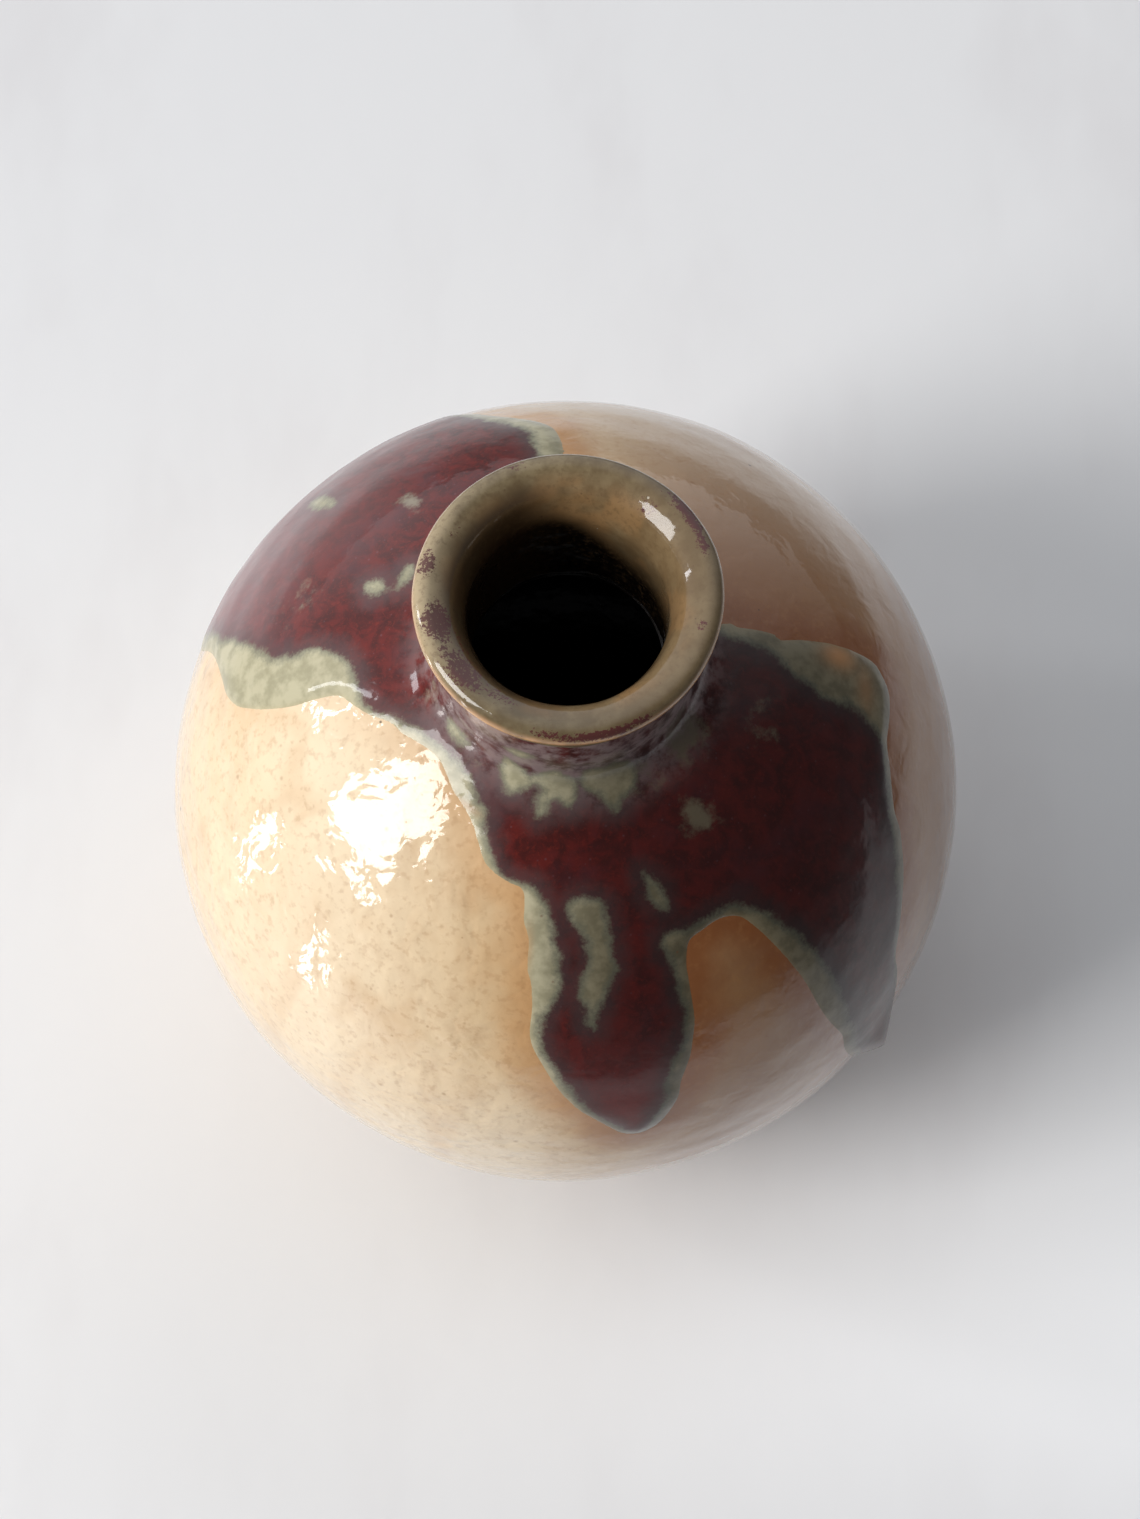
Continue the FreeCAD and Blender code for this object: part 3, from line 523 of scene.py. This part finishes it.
class Paint:
    """A procedural material under construction. Lengths in its patterns are millimetres."""

    def __init__(self, name):
        self.material = bpy.data.materials.new(name)
        self.material.use_nodes = True
        self.tree = self.material.node_tree
        self.tree.nodes.clear()
        self.shader = self.tree.nodes.new("ShaderNodeBsdfPrincipled")
        self.output = self.tree.nodes.new("ShaderNodeOutputMaterial")
        self.tree.links.new(self.shader.outputs[0], self.output.inputs[0])
        place = self.tree.nodes.new("ShaderNodeTexCoord")
        scale = self.tree.nodes.new("ShaderNodeVectorMath")
        scale.operation = "SCALE"
        scale.inputs["Scale"].default_value = 1.0 / MM
        self.tree.links.new(place.outputs["Object"], scale.inputs[0])
        self.place = scale.outputs[0]

    def link(self, value, socket):
        """Joins an output to a socket, or sets the socket to a plain value."""
        if isinstance(value, bpy.types.NodeSocket):
            self.tree.links.new(value, socket)
        else:
            socket.default_value = value

    def value(self, name):
        """A value that the mesh carries at its points."""
        node = self.tree.nodes.new("ShaderNodeAttribute")
        node.attribute_name = name
        return node.outputs["Fac"]

    def across(self, low, high, start=0.0, end=1.0, axis=0):
        """Value that changes from start to end between two places along an axis."""
        axes = self.tree.nodes.new("ShaderNodeSeparateXYZ")
        self.tree.links.new(self.place, axes.inputs[0])
        return self.ranged(axes.outputs[axis], low, high, start, end)

    def stretched(self, x, y, z):
        """Coordinates stretched along the axes."""
        node = self.tree.nodes.new("ShaderNodeVectorMath")
        node.operation = "MULTIPLY"
        self.link(self.place, node.inputs[0])
        node.inputs[1].default_value = (x, y, z)
        return node.outputs[0]

    def noise(self, size, detail=3.0, rough=0.55, place=None, warp=0.0):
        """Cloudy pattern from 0 to 1 with lumps of a given size."""
        node = self.tree.nodes.new("ShaderNodeTexNoise")
        self.link(place or self.place, node.inputs["Vector"])
        node.inputs["Scale"].default_value = 1.0 / size
        node.inputs["Detail"].default_value = detail
        node.inputs["Roughness"].default_value = rough
        node.inputs["Distortion"].default_value = warp
        return node.outputs["Fac"]

    def dots(self, spacing, radius, share, soft=0.3):
        """1 on round dots of up to a radius, on a share of the cells of a spacing, else 0."""
        node = self.tree.nodes.new("ShaderNodeTexVoronoi")
        self.link(self.place, node.inputs["Vector"])
        node.inputs["Scale"].default_value = 1.0 / spacing
        chance = self.tree.nodes.new("ShaderNodeSeparateColor")
        self.tree.links.new(node.outputs["Color"], chance.inputs[0])
        size = self.math("MULTIPLY", chance.outputs[1], radius / spacing)
        low = self.math("MULTIPLY", size, 1.0 - soft)
        dot = self.ranged(node.outputs["Distance"], low, size, 1.0, 0.0)
        kept = self.math("LESS_THAN", chance.outputs[0], share)
        return self.math("MULTIPLY", dot, kept)

    def math(self, operation, first, second=0.0, third=None):
        """Sum, product or other operation on outputs or plain numbers."""
        node = self.tree.nodes.new("ShaderNodeMath")
        node.operation = operation
        self.link(first, node.inputs[0])
        self.link(second, node.inputs[1])
        if third is not None:
            self.link(third, node.inputs[2])
        return node.outputs[0]

    def ranged(self, value, low, high, start=0.0, end=1.0):
        """Value mapped softly from low..high to start..end and held there outside."""
        node = self.tree.nodes.new("ShaderNodeMapRange")
        node.interpolation_type = "SMOOTHSTEP"
        node.clamp = True
        for number, given in enumerate((value, low, high, start, end)):
            self.link(given, node.inputs[number])
        return node.outputs[0]

    def mix(self, amount, first, second):
        """Colour between two colours."""
        node = self.tree.nodes.new("ShaderNodeMix")
        node.data_type = "RGBA"
        self.link(amount, node.inputs[0])
        self.link(first, node.inputs[6])
        self.link(second, node.inputs[7])
        return node.outputs[2]

    def finish(self, colour, roughness, height, coat=None, glass=1.46):
        """Connects colour, roughness and a height in mm, and sets the clear glass on top.

        The coat is its weight and roughness, and `glass` is its index of refraction.
        """
        self.link(colour, self.shader.inputs["Base Color"])
        self.link(roughness, self.shader.inputs["Roughness"])
        self.shader.inputs["Specular IOR Level"].default_value = 0.1
        if coat is not None:
            weight, coat_rough = coat
            self.shader.inputs["Coat Weight"].default_value = weight
            self.shader.inputs["Coat Roughness"].default_value = coat_rough
            self.shader.inputs["Coat IOR"].default_value = glass
        bump = self.tree.nodes.new("ShaderNodeBump")
        bump.inputs["Strength"].default_value = 1.0
        bump.inputs["Distance"].default_value = MM
        self.link(height, bump.inputs["Height"])
        self.tree.links.new(bump.outputs[0], self.shader.inputs["Normal"])
        if coat is not None:
            self.tree.links.new(bump.outputs[0], self.shader.inputs["Coat Normal"])
        return self.material


def tone(red, green, blue):
    """Colour from 0-255 display values."""
    linear = [
        (v / 255.0 / 12.92) if v <= 10.3 else ((v / 255.0 + 0.055) / 1.055) ** 2.4
        for v in (red, green, blue)
    ]
    return (*linear, 1.0)


def honey_paint():
    """Tan glaze with an orange flush by the pour; painted light makes it paler to the left, painted
    shade browner to the right.
    """
    paint = Paint("honey_glaze")
    clouds = paint.noise(16.0, 4.0, 0.55)
    runs = paint.noise(7.0, 3.0, 0.5, paint.stretched(1.0, 1.0, 0.22), 0.3)
    base = paint.mix(paint.ranged(clouds, 0.35, 0.68), tone(210, 176, 129), tone(226, 196, 153))
    patches = paint.ranged(paint.noise(4.2, 4.0, 0.62), 0.46, 0.7)
    base = paint.mix(paint.math("MULTIPLY", patches, 0.45), base, tone(184, 142, 94))
    # painted light: paler on the lit left and low down on the left half, a little less at the far
    # left
    low = paint.math(
        "MULTIPLY", paint.across(50.0, 78.0, 0.8, 0.0, axis=2), paint.across(-8.0, 8.0, 1.0, 0.0)
    )
    pale = paint.math("MAXIMUM", paint.across(-34.0, 2.0, 0.8, 0.0), low)
    pale = paint.math("MULTIPLY", pale, paint.across(-44.0, -26.0, 0.55, 1.0))
    base = paint.mix(pale, base, tone(243, 225, 196))
    base = paint.mix(
        paint.math("MULTIPLY", paint.ranged(runs, 0.5, 0.75), 0.28), base, tone(192, 146, 96)
    )
    # painted shade: browner and darker towards the right, away from the window light
    brown = paint.across(-8.0, 22.0, 0.0, 0.85)
    base = paint.mix(brown, base, tone(130, 82, 43))
    # orange-brown on the right of the shoulder: partly the glaze's own colour, partly painted shade
    shoulder = paint.math(
        "MULTIPLY", paint.across(3.0, 16.0, 0.0, 0.7), paint.across(78.0, 92.0, axis=2)
    )
    base = paint.mix(shoulder, base, tone(142, 88, 44))
    # painted light: paler towards the back, lit by the bright back of the room
    rear = paint.across(6.0, 34.0, 0.0, 0.48, axis=1)
    base = paint.mix(rear, base, tone(206, 184, 156))
    near = paint.value("pour_distance")
    ragged = paint.math("ADD", near, paint.math("MULTIPLY", paint.noise(5.0, 3.0), -5.0))
    flush = paint.math(
        "MULTIPLY", paint.ranged(ragged, -2.5, 3.8, 1.0, 0.0), paint.across(-24.0, 6.0, 0.15, 0.8)
    )
    # the orange flush by the pour is the glaze's own colour; painted shade makes it browner to the
    # right
    orange = paint.mix(paint.across(-10.0, 14.0), tone(208, 152, 94), tone(128, 70, 27))
    base = paint.mix(flush, base, orange)
    mottle = paint.noise(1.1, 2.0, 0.6)
    base = paint.mix(
        paint.math("MULTIPLY", paint.ranged(mottle, 0.5, 0.72), 0.24), base, tone(160, 112, 66)
    )
    freckles = paint.dots(2.1, 0.5, 0.4, 0.9)
    base = paint.mix(paint.math("MULTIPLY", freckles, 0.42), base, tone(140, 92, 52))
    iron = paint.dots(5.5, 0.42, 0.3, 0.5)
    base = paint.mix(paint.math("MULTIPLY", iron, 0.85), base, tone(54, 34, 22))
    foot = paint.ranged(paint.value("foot_distance"), 0.4, 2.4, 1.0, 0.0)
    base = paint.mix(paint.math("MULTIPLY", foot, 0.6), base, tone(150, 96, 52))
    peel = paint.math(
        "MULTIPLY", paint.noise(3.8, 2.0, 0.45, warp=0.5), paint.across(-14.0, 8.0, 0.28, 0.12)
    )
    fine = paint.math("MULTIPLY", paint.noise(1.4, 1.0, 0.5, warp=0.8), 0.026)
    pits = paint.math("MULTIPLY", paint.dots(3.4, 0.2, 0.35, 0.6), -0.05)
    height = paint.math("ADD", paint.math("ADD", peel, fine), pits)
    rough = paint.ranged(paint.noise(9.0, 3.0), 0.3, 0.7, 0.30, 0.44)
    return paint.finish(base, rough, height, coat=(1.0, 0.065), glass=1.54)


def pour_paint():
    """Oxblood glaze that breaks to grey-green where it is thin, with blue and violet mottling;
    painted shade darkens it to the right and painted sheen pales it on the left.
    """
    paint = Paint("red_glaze")
    red = paint.value("red_distance")
    edge = paint.value("edge_distance")
    down = paint.value("down_from_neck")
    wander = paint.math("MULTIPLY_ADD", paint.noise(2.8, 3.0, 0.6), 2.2, -1.1)
    crumb = paint.math("MULTIPLY_ADD", paint.noise(0.38, 3.0, 0.7), 1.2, -0.6)
    border = paint.math("ADD", red, paint.math("ADD", wander, crumb))
    is_red = paint.ranged(border, -0.55, 0.5)
    # painted shade: 0 on the lit left and 1 on the shaded right; the darker copies of the colours
    # below follow it
    shaded = paint.across(-16.0, 14.0)
    flows = paint.noise(2.2, 4.0, 0.6, paint.stretched(1.0, 1.0, 0.3), 0.5)
    blood = paint.mix(paint.ranged(flows, 0.35, 0.65), tone(72, 28, 26), tone(104, 34, 30))
    grain = paint.noise(0.55, 3.0, 0.7)
    blood = paint.mix(
        paint.math("MULTIPLY", paint.ranged(grain, 0.5, 0.72), 0.5), blood, tone(124, 44, 34)
    )
    violet = paint.noise(7.0, 4.0, 0.6)
    blood = paint.mix(
        paint.math("MULTIPLY", paint.ranged(violet, 0.48, 0.72), 0.6), blood, tone(80, 44, 50)
    )
    specks = paint.dots(0.9, 0.24, 0.5, 0.8)
    blood = paint.mix(paint.math("MULTIPLY", specks, 0.35), blood, tone(118, 90, 98))
    # painted shade: the red darkens towards the right
    blood = paint.mix(paint.math("MULTIPLY", shaded, 0.66), blood, tone(32, 10, 10))
    # painted sheen: the red paler and greyer at the far left, towards the window
    blood = paint.mix(paint.across(-47.0, -27.0, 0.42, 0.0), blood, tone(172, 144, 146))
    low = paint.math(
        "MULTIPLY", paint.ranged(down, 44.0, 58.0, 0.0, 0.5), paint.across(14.0, 26.0, 1.0, 0.0)
    )
    blood = paint.mix(low, blood, tone(114, 42, 40))
    # the thin red breaks to grey, with a painted-light copy on the left and a painted-shade copy on
    # the right
    thin = paint.ranged(border, 0.3, 3.0, 1.0, 0.0)
    thin_grey_lit_and_shaded = paint.mix(shaded, tone(92, 76, 76), tone(44, 36, 36))
    blood = paint.mix(paint.math("MULTIPLY", thin, 0.6), blood, thin_grey_lit_and_shaded)
    # painted sheen: paler red on the left towards the back
    painted_sheen = paint.math(
        "MULTIPLY", paint.across(-34.0, -10.0, 0.38, 0.0), paint.across(4.0, 26.0, axis=1)
    )
    blood = paint.mix(painted_sheen, blood, tone(160, 134, 134))
    neck = paint.math(
        "MULTIPLY", paint.ranged(down, 8.0, 19.0, 0.9, 0.0),
        paint.ranged(paint.noise(2.8, 4.0, 0.65), 0.36, 0.6),
    )
    blood = paint.mix(neck, blood, tone(146, 128, 127))
    cloud = paint.math("MULTIPLY_ADD", paint.noise(2.4, 4.0, 0.65), 2.4, -1.2)
    bloom = paint.ranged(paint.math("ADD", paint.value("bloom"), cloud), 0.15, 0.95, 0.0, 0.85)
    bloom = paint.math("MULTIPLY", bloom, paint.ranged(paint.value("bloom"), 0.02, 0.2))
    # the bloom's grey-green, with a darker painted-shade copy to the right
    blood = paint.mix(bloom, blood, paint.mix(shaded, tone(150, 142, 124), tone(92, 84, 68)))
    clouds = paint.noise(2.4, 3.0, 0.6)
    green = paint.mix(paint.ranged(clouds, 0.35, 0.65), tone(160, 154, 126), tone(186, 179, 150))
    # painted shade: darker olive green on the right, a little more lower down
    deep_shade = paint.mix(paint.ranged(clouds, 0.35, 0.65), tone(78, 70, 52), tone(100, 91, 70))
    depth = paint.math(
        "MULTIPLY", paint.across(-6.0, 6.0, 0.0, 0.9), paint.ranged(down, 13.0, 24.0, 0.78, 1.0)
    )
    green = paint.mix(depth, green, deep_shade)
    green = paint.mix(paint.value("cream"), green, tone(180, 128, 82))
    rust = paint.dots(1.6, 0.3, 0.3, 0.8)
    green = paint.mix(paint.math("MULTIPLY", rust, 0.5), green, tone(112, 70, 46))
    # the grey-green border's teal, with a darker painted-shade copy to the right
    teal = paint.mix(shaded, tone(110, 112, 98), tone(66, 70, 62))
    green = paint.mix(
        paint.math("MULTIPLY", paint.ranged(border, -1.3, -0.2), 0.6), green, teal
    )
    # the pale edge of the pour, with a darker painted-shade copy to the right
    cream = paint.math("MULTIPLY", paint.ranged(edge, 0.2, 1.0, 1.0, 0.0), 0.35)
    green = paint.mix(cream, green, paint.mix(shaded, tone(206, 190, 152), tone(140, 118, 84)))
    base = paint.mix(is_red, green, blood)
    holes = paint.dots(4.2, 0.24, 0.3, 0.5)
    base = paint.mix(paint.math("MULTIPLY", holes, 0.7), base, tone(190, 180, 184))
    peel = paint.math("MULTIPLY", paint.noise(3.0, 2.0, 0.5), 0.08)
    pits = paint.math("MULTIPLY", holes, -0.06)
    height = paint.math("ADD", peel, pits)
    rough = paint.ranged(paint.noise(6.0, 3.0), 0.3, 0.7, 0.30, 0.42)
    return paint.finish(base, rough, height, coat=(0.65, 0.07), glass=1.44)


def lip_paint():
    """Olive glaze, thin and orange where it breaks over the edge, with red flecks on top; painted
    light on the left, painted shade on the right and down the throat.
    """
    paint = Paint("olive_glaze")
    over = paint.value("over_lip")
    clouds = paint.noise(3.2, 4.0, 0.6)
    base = paint.mix(paint.ranged(clouds, 0.35, 0.66), tone(108, 92, 66), tone(138, 122, 92))
    # painted light: the glaze paler on the lit left
    base = paint.mix(paint.across(-18.0, -10.0, 0.8, 0.0), base, tone(192, 172, 138))
    base = paint.mix(paint.across(-17.0, -6.0, 0.42, 0.0, axis=1), base, tone(84, 72, 52))
    drift = paint.ranged(paint.noise(7.0, 2.0), 0.42, 0.6)
    inner = paint.math(
        "MULTIPLY", paint.ranged(over, 7.6, 10.6), paint.ranged(drift, 0.0, 1.0, 0.2, 0.7)
    )
    base = paint.mix(inner, base, tone(168, 128, 84))
    # painted shade: darker towards the right
    base = paint.mix(paint.across(-4.0, 14.0, 0.0, 0.6), base, tone(104, 84, 58))
    # painted shade: the throat is painted near black farther down, starting lower on the right,
    # which the light from the left reaches farther down
    deep_shade = paint.ranged(
        over, paint.across(-2.0, 8.0, 11.0, 14.5), paint.across(-2.0, 8.0, 17.0, 25.0)
    )
    base = paint.mix(deep_shade, base, tone(14, 9, 6))
    # painted shade: the inner flare darker on the left side, which faces away from the window light
    inner_left_shade = paint.math(
        "MULTIPLY", paint.ranged(over, 7.8, 10.6), paint.across(-6.0, 1.0, 0.85, 0.0)
    )
    base = paint.mix(inner_left_shade, base, tone(58, 44, 30))
    mottle = paint.noise(0.7, 3.0, 0.65)
    base = paint.mix(
        paint.math("MULTIPLY", paint.ranged(mottle, 0.48, 0.7), 0.4), base, tone(98, 78, 54)
    )
    rise = paint.ranged(over, 3.3, 4.3)
    fall = paint.ranged(over, 5.0, 6.1, 1.0, 0.0)
    broken = paint.math("MULTIPLY", paint.math("MULTIPLY", rise, fall),
                        paint.ranged(paint.noise(3.0, 3.0), 0.3, 0.55, 0.4, 1.0))
    base = paint.mix(paint.math("MULTIPLY", broken, 0.85), base, tone(212, 158, 106))
    grain = paint.math("MULTIPLY_ADD", paint.noise(0.42, 3.0, 0.75), 2.6, -1.3)
    patch = paint.math("SUBTRACT", paint.math("ADD", paint.value("fleck"), grain), 0.55)
    amount = paint.ranged(patch, -0.10, 0.14, 0.0, 0.9)
    base = paint.mix(amount, base, tone(84, 38, 40))
    pepper = paint.dots(1.4, 0.2, 0.3, 0.7)
    base = paint.mix(paint.math("MULTIPLY", pepper, 0.6), base, tone(66, 46, 32))
    holes = paint.dots(3.0, 0.24, 0.22, 0.5)
    base = paint.mix(paint.math("MULTIPLY", holes, 0.75), base, tone(206, 196, 178))
    peel = paint.math("MULTIPLY", paint.noise(2.4, 2.0, 0.5), 0.06)
    height = paint.math("ADD", peel, paint.math("MULTIPLY", holes, -0.05))
    rough = paint.ranged(paint.noise(5.0, 3.0), 0.3, 0.7, 0.32, 0.44)
    return paint.finish(base, rough, height, coat=(1.0, 0.06))


def liner_paint():
    """Dark glossy lining with faint streaks; its near-black brown is partly its glaze and partly
    painted shade inside the vase.
    """
    paint = Paint("liner_glaze")
    streaks = paint.noise(5.0, 4.0, 0.6, paint.stretched(1.0, 1.0, 0.3))
    base = paint.mix(paint.ranged(streaks, 0.3, 0.7), tone(15, 10, 8), tone(32, 22, 16))
    height = paint.math("MULTIPLY", paint.noise(3.0, 2.0), 0.08)
    rough = paint.ranged(paint.noise(6.0), 0.3, 0.7, 0.25, 0.4)
    return paint.finish(base, rough, height, coat=(1.0, 0.1))


def clay_paint(name, light, dark, toast):
    """Matt stoneware with grog, iron specks and turning marks about the axis."""
    paint = Paint(name)
    clouds = paint.noise(6.0, 4.0, 0.6)
    base = paint.mix(paint.ranged(clouds, 0.3, 0.7), dark, light)
    base = paint.mix(
        paint.math("MULTIPLY", paint.ranged(paint.noise(14.0, 3.0), 0.45, 0.7), 0.7), base, toast
    )
    iron = paint.dots(2.2, 0.3, 0.35, 0.6)
    base = paint.mix(paint.math("MULTIPLY", iron, 0.8), base, tone(48, 34, 26))
    pale = paint.dots(1.5, 0.26, 0.3, 0.6)
    base = paint.mix(paint.math("MULTIPLY", pale, 0.5), base, tone(214, 190, 158))
    flat = paint.tree.nodes.new("ShaderNodeVectorMath")
    flat.operation = "LENGTH"
    paint.link(paint.stretched(1.0, 1.0, 0.0), flat.inputs[0])
    wavering = paint.math("ADD", flat.outputs["Value"], paint.noise(4.0, 2.0))
    rings = paint.math("SINE", paint.math("MULTIPLY", wavering, 4.6))
    grit = paint.math("MULTIPLY", paint.noise(0.45, 3.0, 0.7), 0.16)
    height = paint.math("ADD", grit, paint.math("MULTIPLY", rings, 0.035))
    height = paint.math("ADD", height, paint.math("MULTIPLY", pale, 0.06))
    rough = paint.ranged(paint.noise(2.0, 3.0), 0.3, 0.7, 0.72, 0.92)
    return paint.finish(base, rough, height)


def floor_paint():
    """Pale painted board with faint stains, with painted light at the front right and painted shade
    far off.
    """
    paint = Paint("floor_paint")
    stains = paint.noise(38.0, 4.0, 0.6, paint.stretched(1.0, 0.45, 1.0))
    base = paint.mix(paint.ranged(stains, 0.45, 0.75), tone(230, 230, 231), tone(224, 223, 224))
    marks = paint.dots(34.0, 1.6, 0.5, 0.9)
    base = paint.mix(paint.math("MULTIPLY", marks, 0.22), base, tone(206, 202, 196))
    away = paint.tree.nodes.new("ShaderNodeVectorMath")
    away.operation = "LENGTH"
    paint.link(paint.place, away.inputs[0])
    # painted shade: the floor darker far from the vase
    base = paint.mix(paint.ranged(away.outputs["Value"], 190.0, 410.0), base, tone(118, 118, 120))
    # painted light: the floor paler in front of and to the right of the vase
    painted_light_front_right = paint.math(
        "MULTIPLY", paint.across(-60.0, 30.0, 0.0, 0.9),
        paint.across(-62.0, -26.0, 1.0, 0.0, axis=1),
    )
    painted_light_front_right = paint.math("MULTIPLY", painted_light_front_right, paint.across(-106.0, -62.0, axis=1))
    base = paint.mix(painted_light_front_right, base, tone(253, 253, 254))
    height = paint.math("MULTIPLY", paint.noise(9.0, 3.0), 0.05)
    rough = paint.ranged(paint.noise(25.0, 3.0), 0.3, 0.7, 0.5, 0.65)
    return paint.finish(base, rough, height)


def make_floor(paint):
    """Wide floor, very slightly uneven, just under the foot."""
    cells, half = 60, 1500.0
    across = np.linspace(-half, half, cells + 1)
    x, y = np.meshgrid(across, across)
    points = np.stack([x, y, np.zeros_like(x)], -1)
    far = smooth_between(60.0, 300.0, np.hypot(x, y))
    points[..., 2] = -0.02 - 0.3 * far * np.abs(noise_at(points, 240.0, 31))
    faces = [
        (r * (cells + 1) + c, r * (cells + 1) + c + 1, (r + 1) * (cells + 1) + c + 1,
         (r + 1) * (cells + 1) + c)
        for r in range(cells) for c in range(cells)
    ]
    floor = make_mesh("floor", points.reshape(-1, 3), faces)
    floor.data.materials.append(paint)


def aim(thing, place, target):
    """Puts a light or camera at a place, looking at a target, both in metres."""
    thing.location = place
    thing.rotation_euler = (Vector(target) - Vector(place)).to_track_quat("-Z", "Y").to_euler()


def make_light(name, azimuth, elevation, distance, size, power, colour):
    """Rectangular soft light that faces the vase from an azimuth and an elevation."""
    data = bpy.data.lights.new(name, "AREA")
    data.shape = "RECTANGLE"
    data.size, data.size_y = size
    data.energy = power
    data.color = colour
    light = bpy.data.objects.new(name, data)
    bpy.context.scene.collection.objects.link(light)
    turn, rise = math.radians(azimuth), math.radians(elevation)
    off = Vector((math.cos(rise) * math.cos(turn), math.cos(rise) * math.sin(turn), math.sin(rise)))
    aim(light, Vector(LIT_HEART) + off * distance, LIT_HEART)


def make_lights():
    """A soft window at the left with a side pane, two low glints on that side, and a dim room."""
    warm = (1.0, 0.97, 0.93)
    make_light("window", -158.0, 33.5, 3.0, (1.12, 1.98), 80.5, (1.0, 0.985, 0.97))
    make_light("side_pane", 167.0, 23.0, 1.2, (0.11, 0.42), 2.0, (0.95, 0.96, 1.0))
    make_light("low_glint_a", -171.0, -12.0, 0.20, (0.012, 0.062), 0.022, warm)
    make_light("low_glint_b", -147.0, -13.0, 0.20, (0.012, 0.058), 0.022, warm)
    make_room()


def make_room():
    """Dim room that is brighter towards the back, as from a pale wall."""
    world = bpy.data.worlds.new("room")
    world.use_nodes = True
    tree = world.node_tree
    place = tree.nodes.new("ShaderNodeTexCoord")
    towards = tree.nodes.new("ShaderNodeVectorMath")
    towards.operation = "DOT_PRODUCT"
    tree.links.new(place.outputs["Generated"], towards.inputs[0])
    towards.inputs[1].default_value = Vector((-0.18, 0.86, 0.48)).normalized()
    glow = tree.nodes.new("ShaderNodeMapRange")
    glow.interpolation_type = "SMOOTHSTEP"
    for number, value in enumerate((0.05, 1.0, ROOM_DIM, ROOM_BRIGHT), start=1):
        glow.inputs[number].default_value = value
    tree.links.new(towards.outputs["Value"], glow.inputs[0])
    background = tree.nodes["Background"]
    background.inputs["Color"].default_value = (0.93, 0.96, 1.0, 1.0)
    tree.links.new(glow.outputs[0], background.inputs["Strength"])
    bpy.context.scene.world = world


def make_camera():
    """Camera above the vase, as high as the photograph was taken from."""
    data = bpy.data.cameras.new("camera")
    data.sensor_width = 36.0
    data.lens = LENS
    data.shift_x, data.shift_y = LENS_SHIFT
    data.clip_start, data.clip_end = 0.01, 20.0
    camera = bpy.data.objects.new("camera", data)
    bpy.context.scene.collection.objects.link(camera)
    heart, rise = Vector((0.0, 0.0, BELLY_Z * MM)), math.radians(CAMERA_RISE)
    place = heart + Vector((0.0, -math.cos(rise), math.sin(rise))) * CAMERA_DISTANCE
    aim(camera, place, heart)
    bpy.context.scene.camera = camera
    bpy.context.scene.view_settings.view_transform = "Standard"


def dress(node, paint):
    """Gives a packed clay or glaze node its finished material."""
    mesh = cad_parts[node].data
    if mesh.materials:
        for index in range(len(mesh.materials)):
            mesh.materials[index] = paint
    else:
        mesh.materials.append(paint)


def settle(piece, paint, slot, *nodes):
    """Finishes a new piece: its material, the body it rides on and the nodes it stands for."""
    piece.data.materials.append(paint)
    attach(piece, "root")
    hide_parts(*nodes)


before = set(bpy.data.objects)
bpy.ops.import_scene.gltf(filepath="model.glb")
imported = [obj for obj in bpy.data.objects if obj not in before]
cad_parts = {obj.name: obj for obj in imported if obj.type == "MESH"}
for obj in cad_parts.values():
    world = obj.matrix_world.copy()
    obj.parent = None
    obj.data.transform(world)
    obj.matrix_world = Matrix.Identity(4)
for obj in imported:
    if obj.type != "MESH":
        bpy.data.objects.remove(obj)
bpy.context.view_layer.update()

pour_edge = closed_by_the_neck(curve_through(POUR_EDGE), POUR_EDGE[0][1])
glaze = honey_paint()
settle(make_honey_coat(curve_through(POUR_EDGE)), glaze, "honey_glaze", "honey_glaze_coat")
settle(make_pour(pour_edge), pour_paint(), "red_glaze",
       "red_run_left", "red_run_front", "red_run_right")
settle(make_lip_coat(), lip_paint(), "olive_glaze", "lip_glaze")
stoneware = clay_paint("stoneware", tone(196, 172, 138), tone(168, 140, 106), tone(180, 132, 88))
bare_clay = clay_paint("bare_clay", tone(176, 128, 88), tone(138, 94, 62), tone(150, 84, 48))
settle(make_foot(), bare_clay, "bare_clay", "foot_ring")
for clay_node in ("belly_wall", "neck_collar", "lip_ring"):
    dress(clay_node, bare_clay if clay_node == "belly_wall" else stoneware)
dress("liner_glaze", liner_paint())

make_floor(floor_paint())
make_lights()
make_camera()
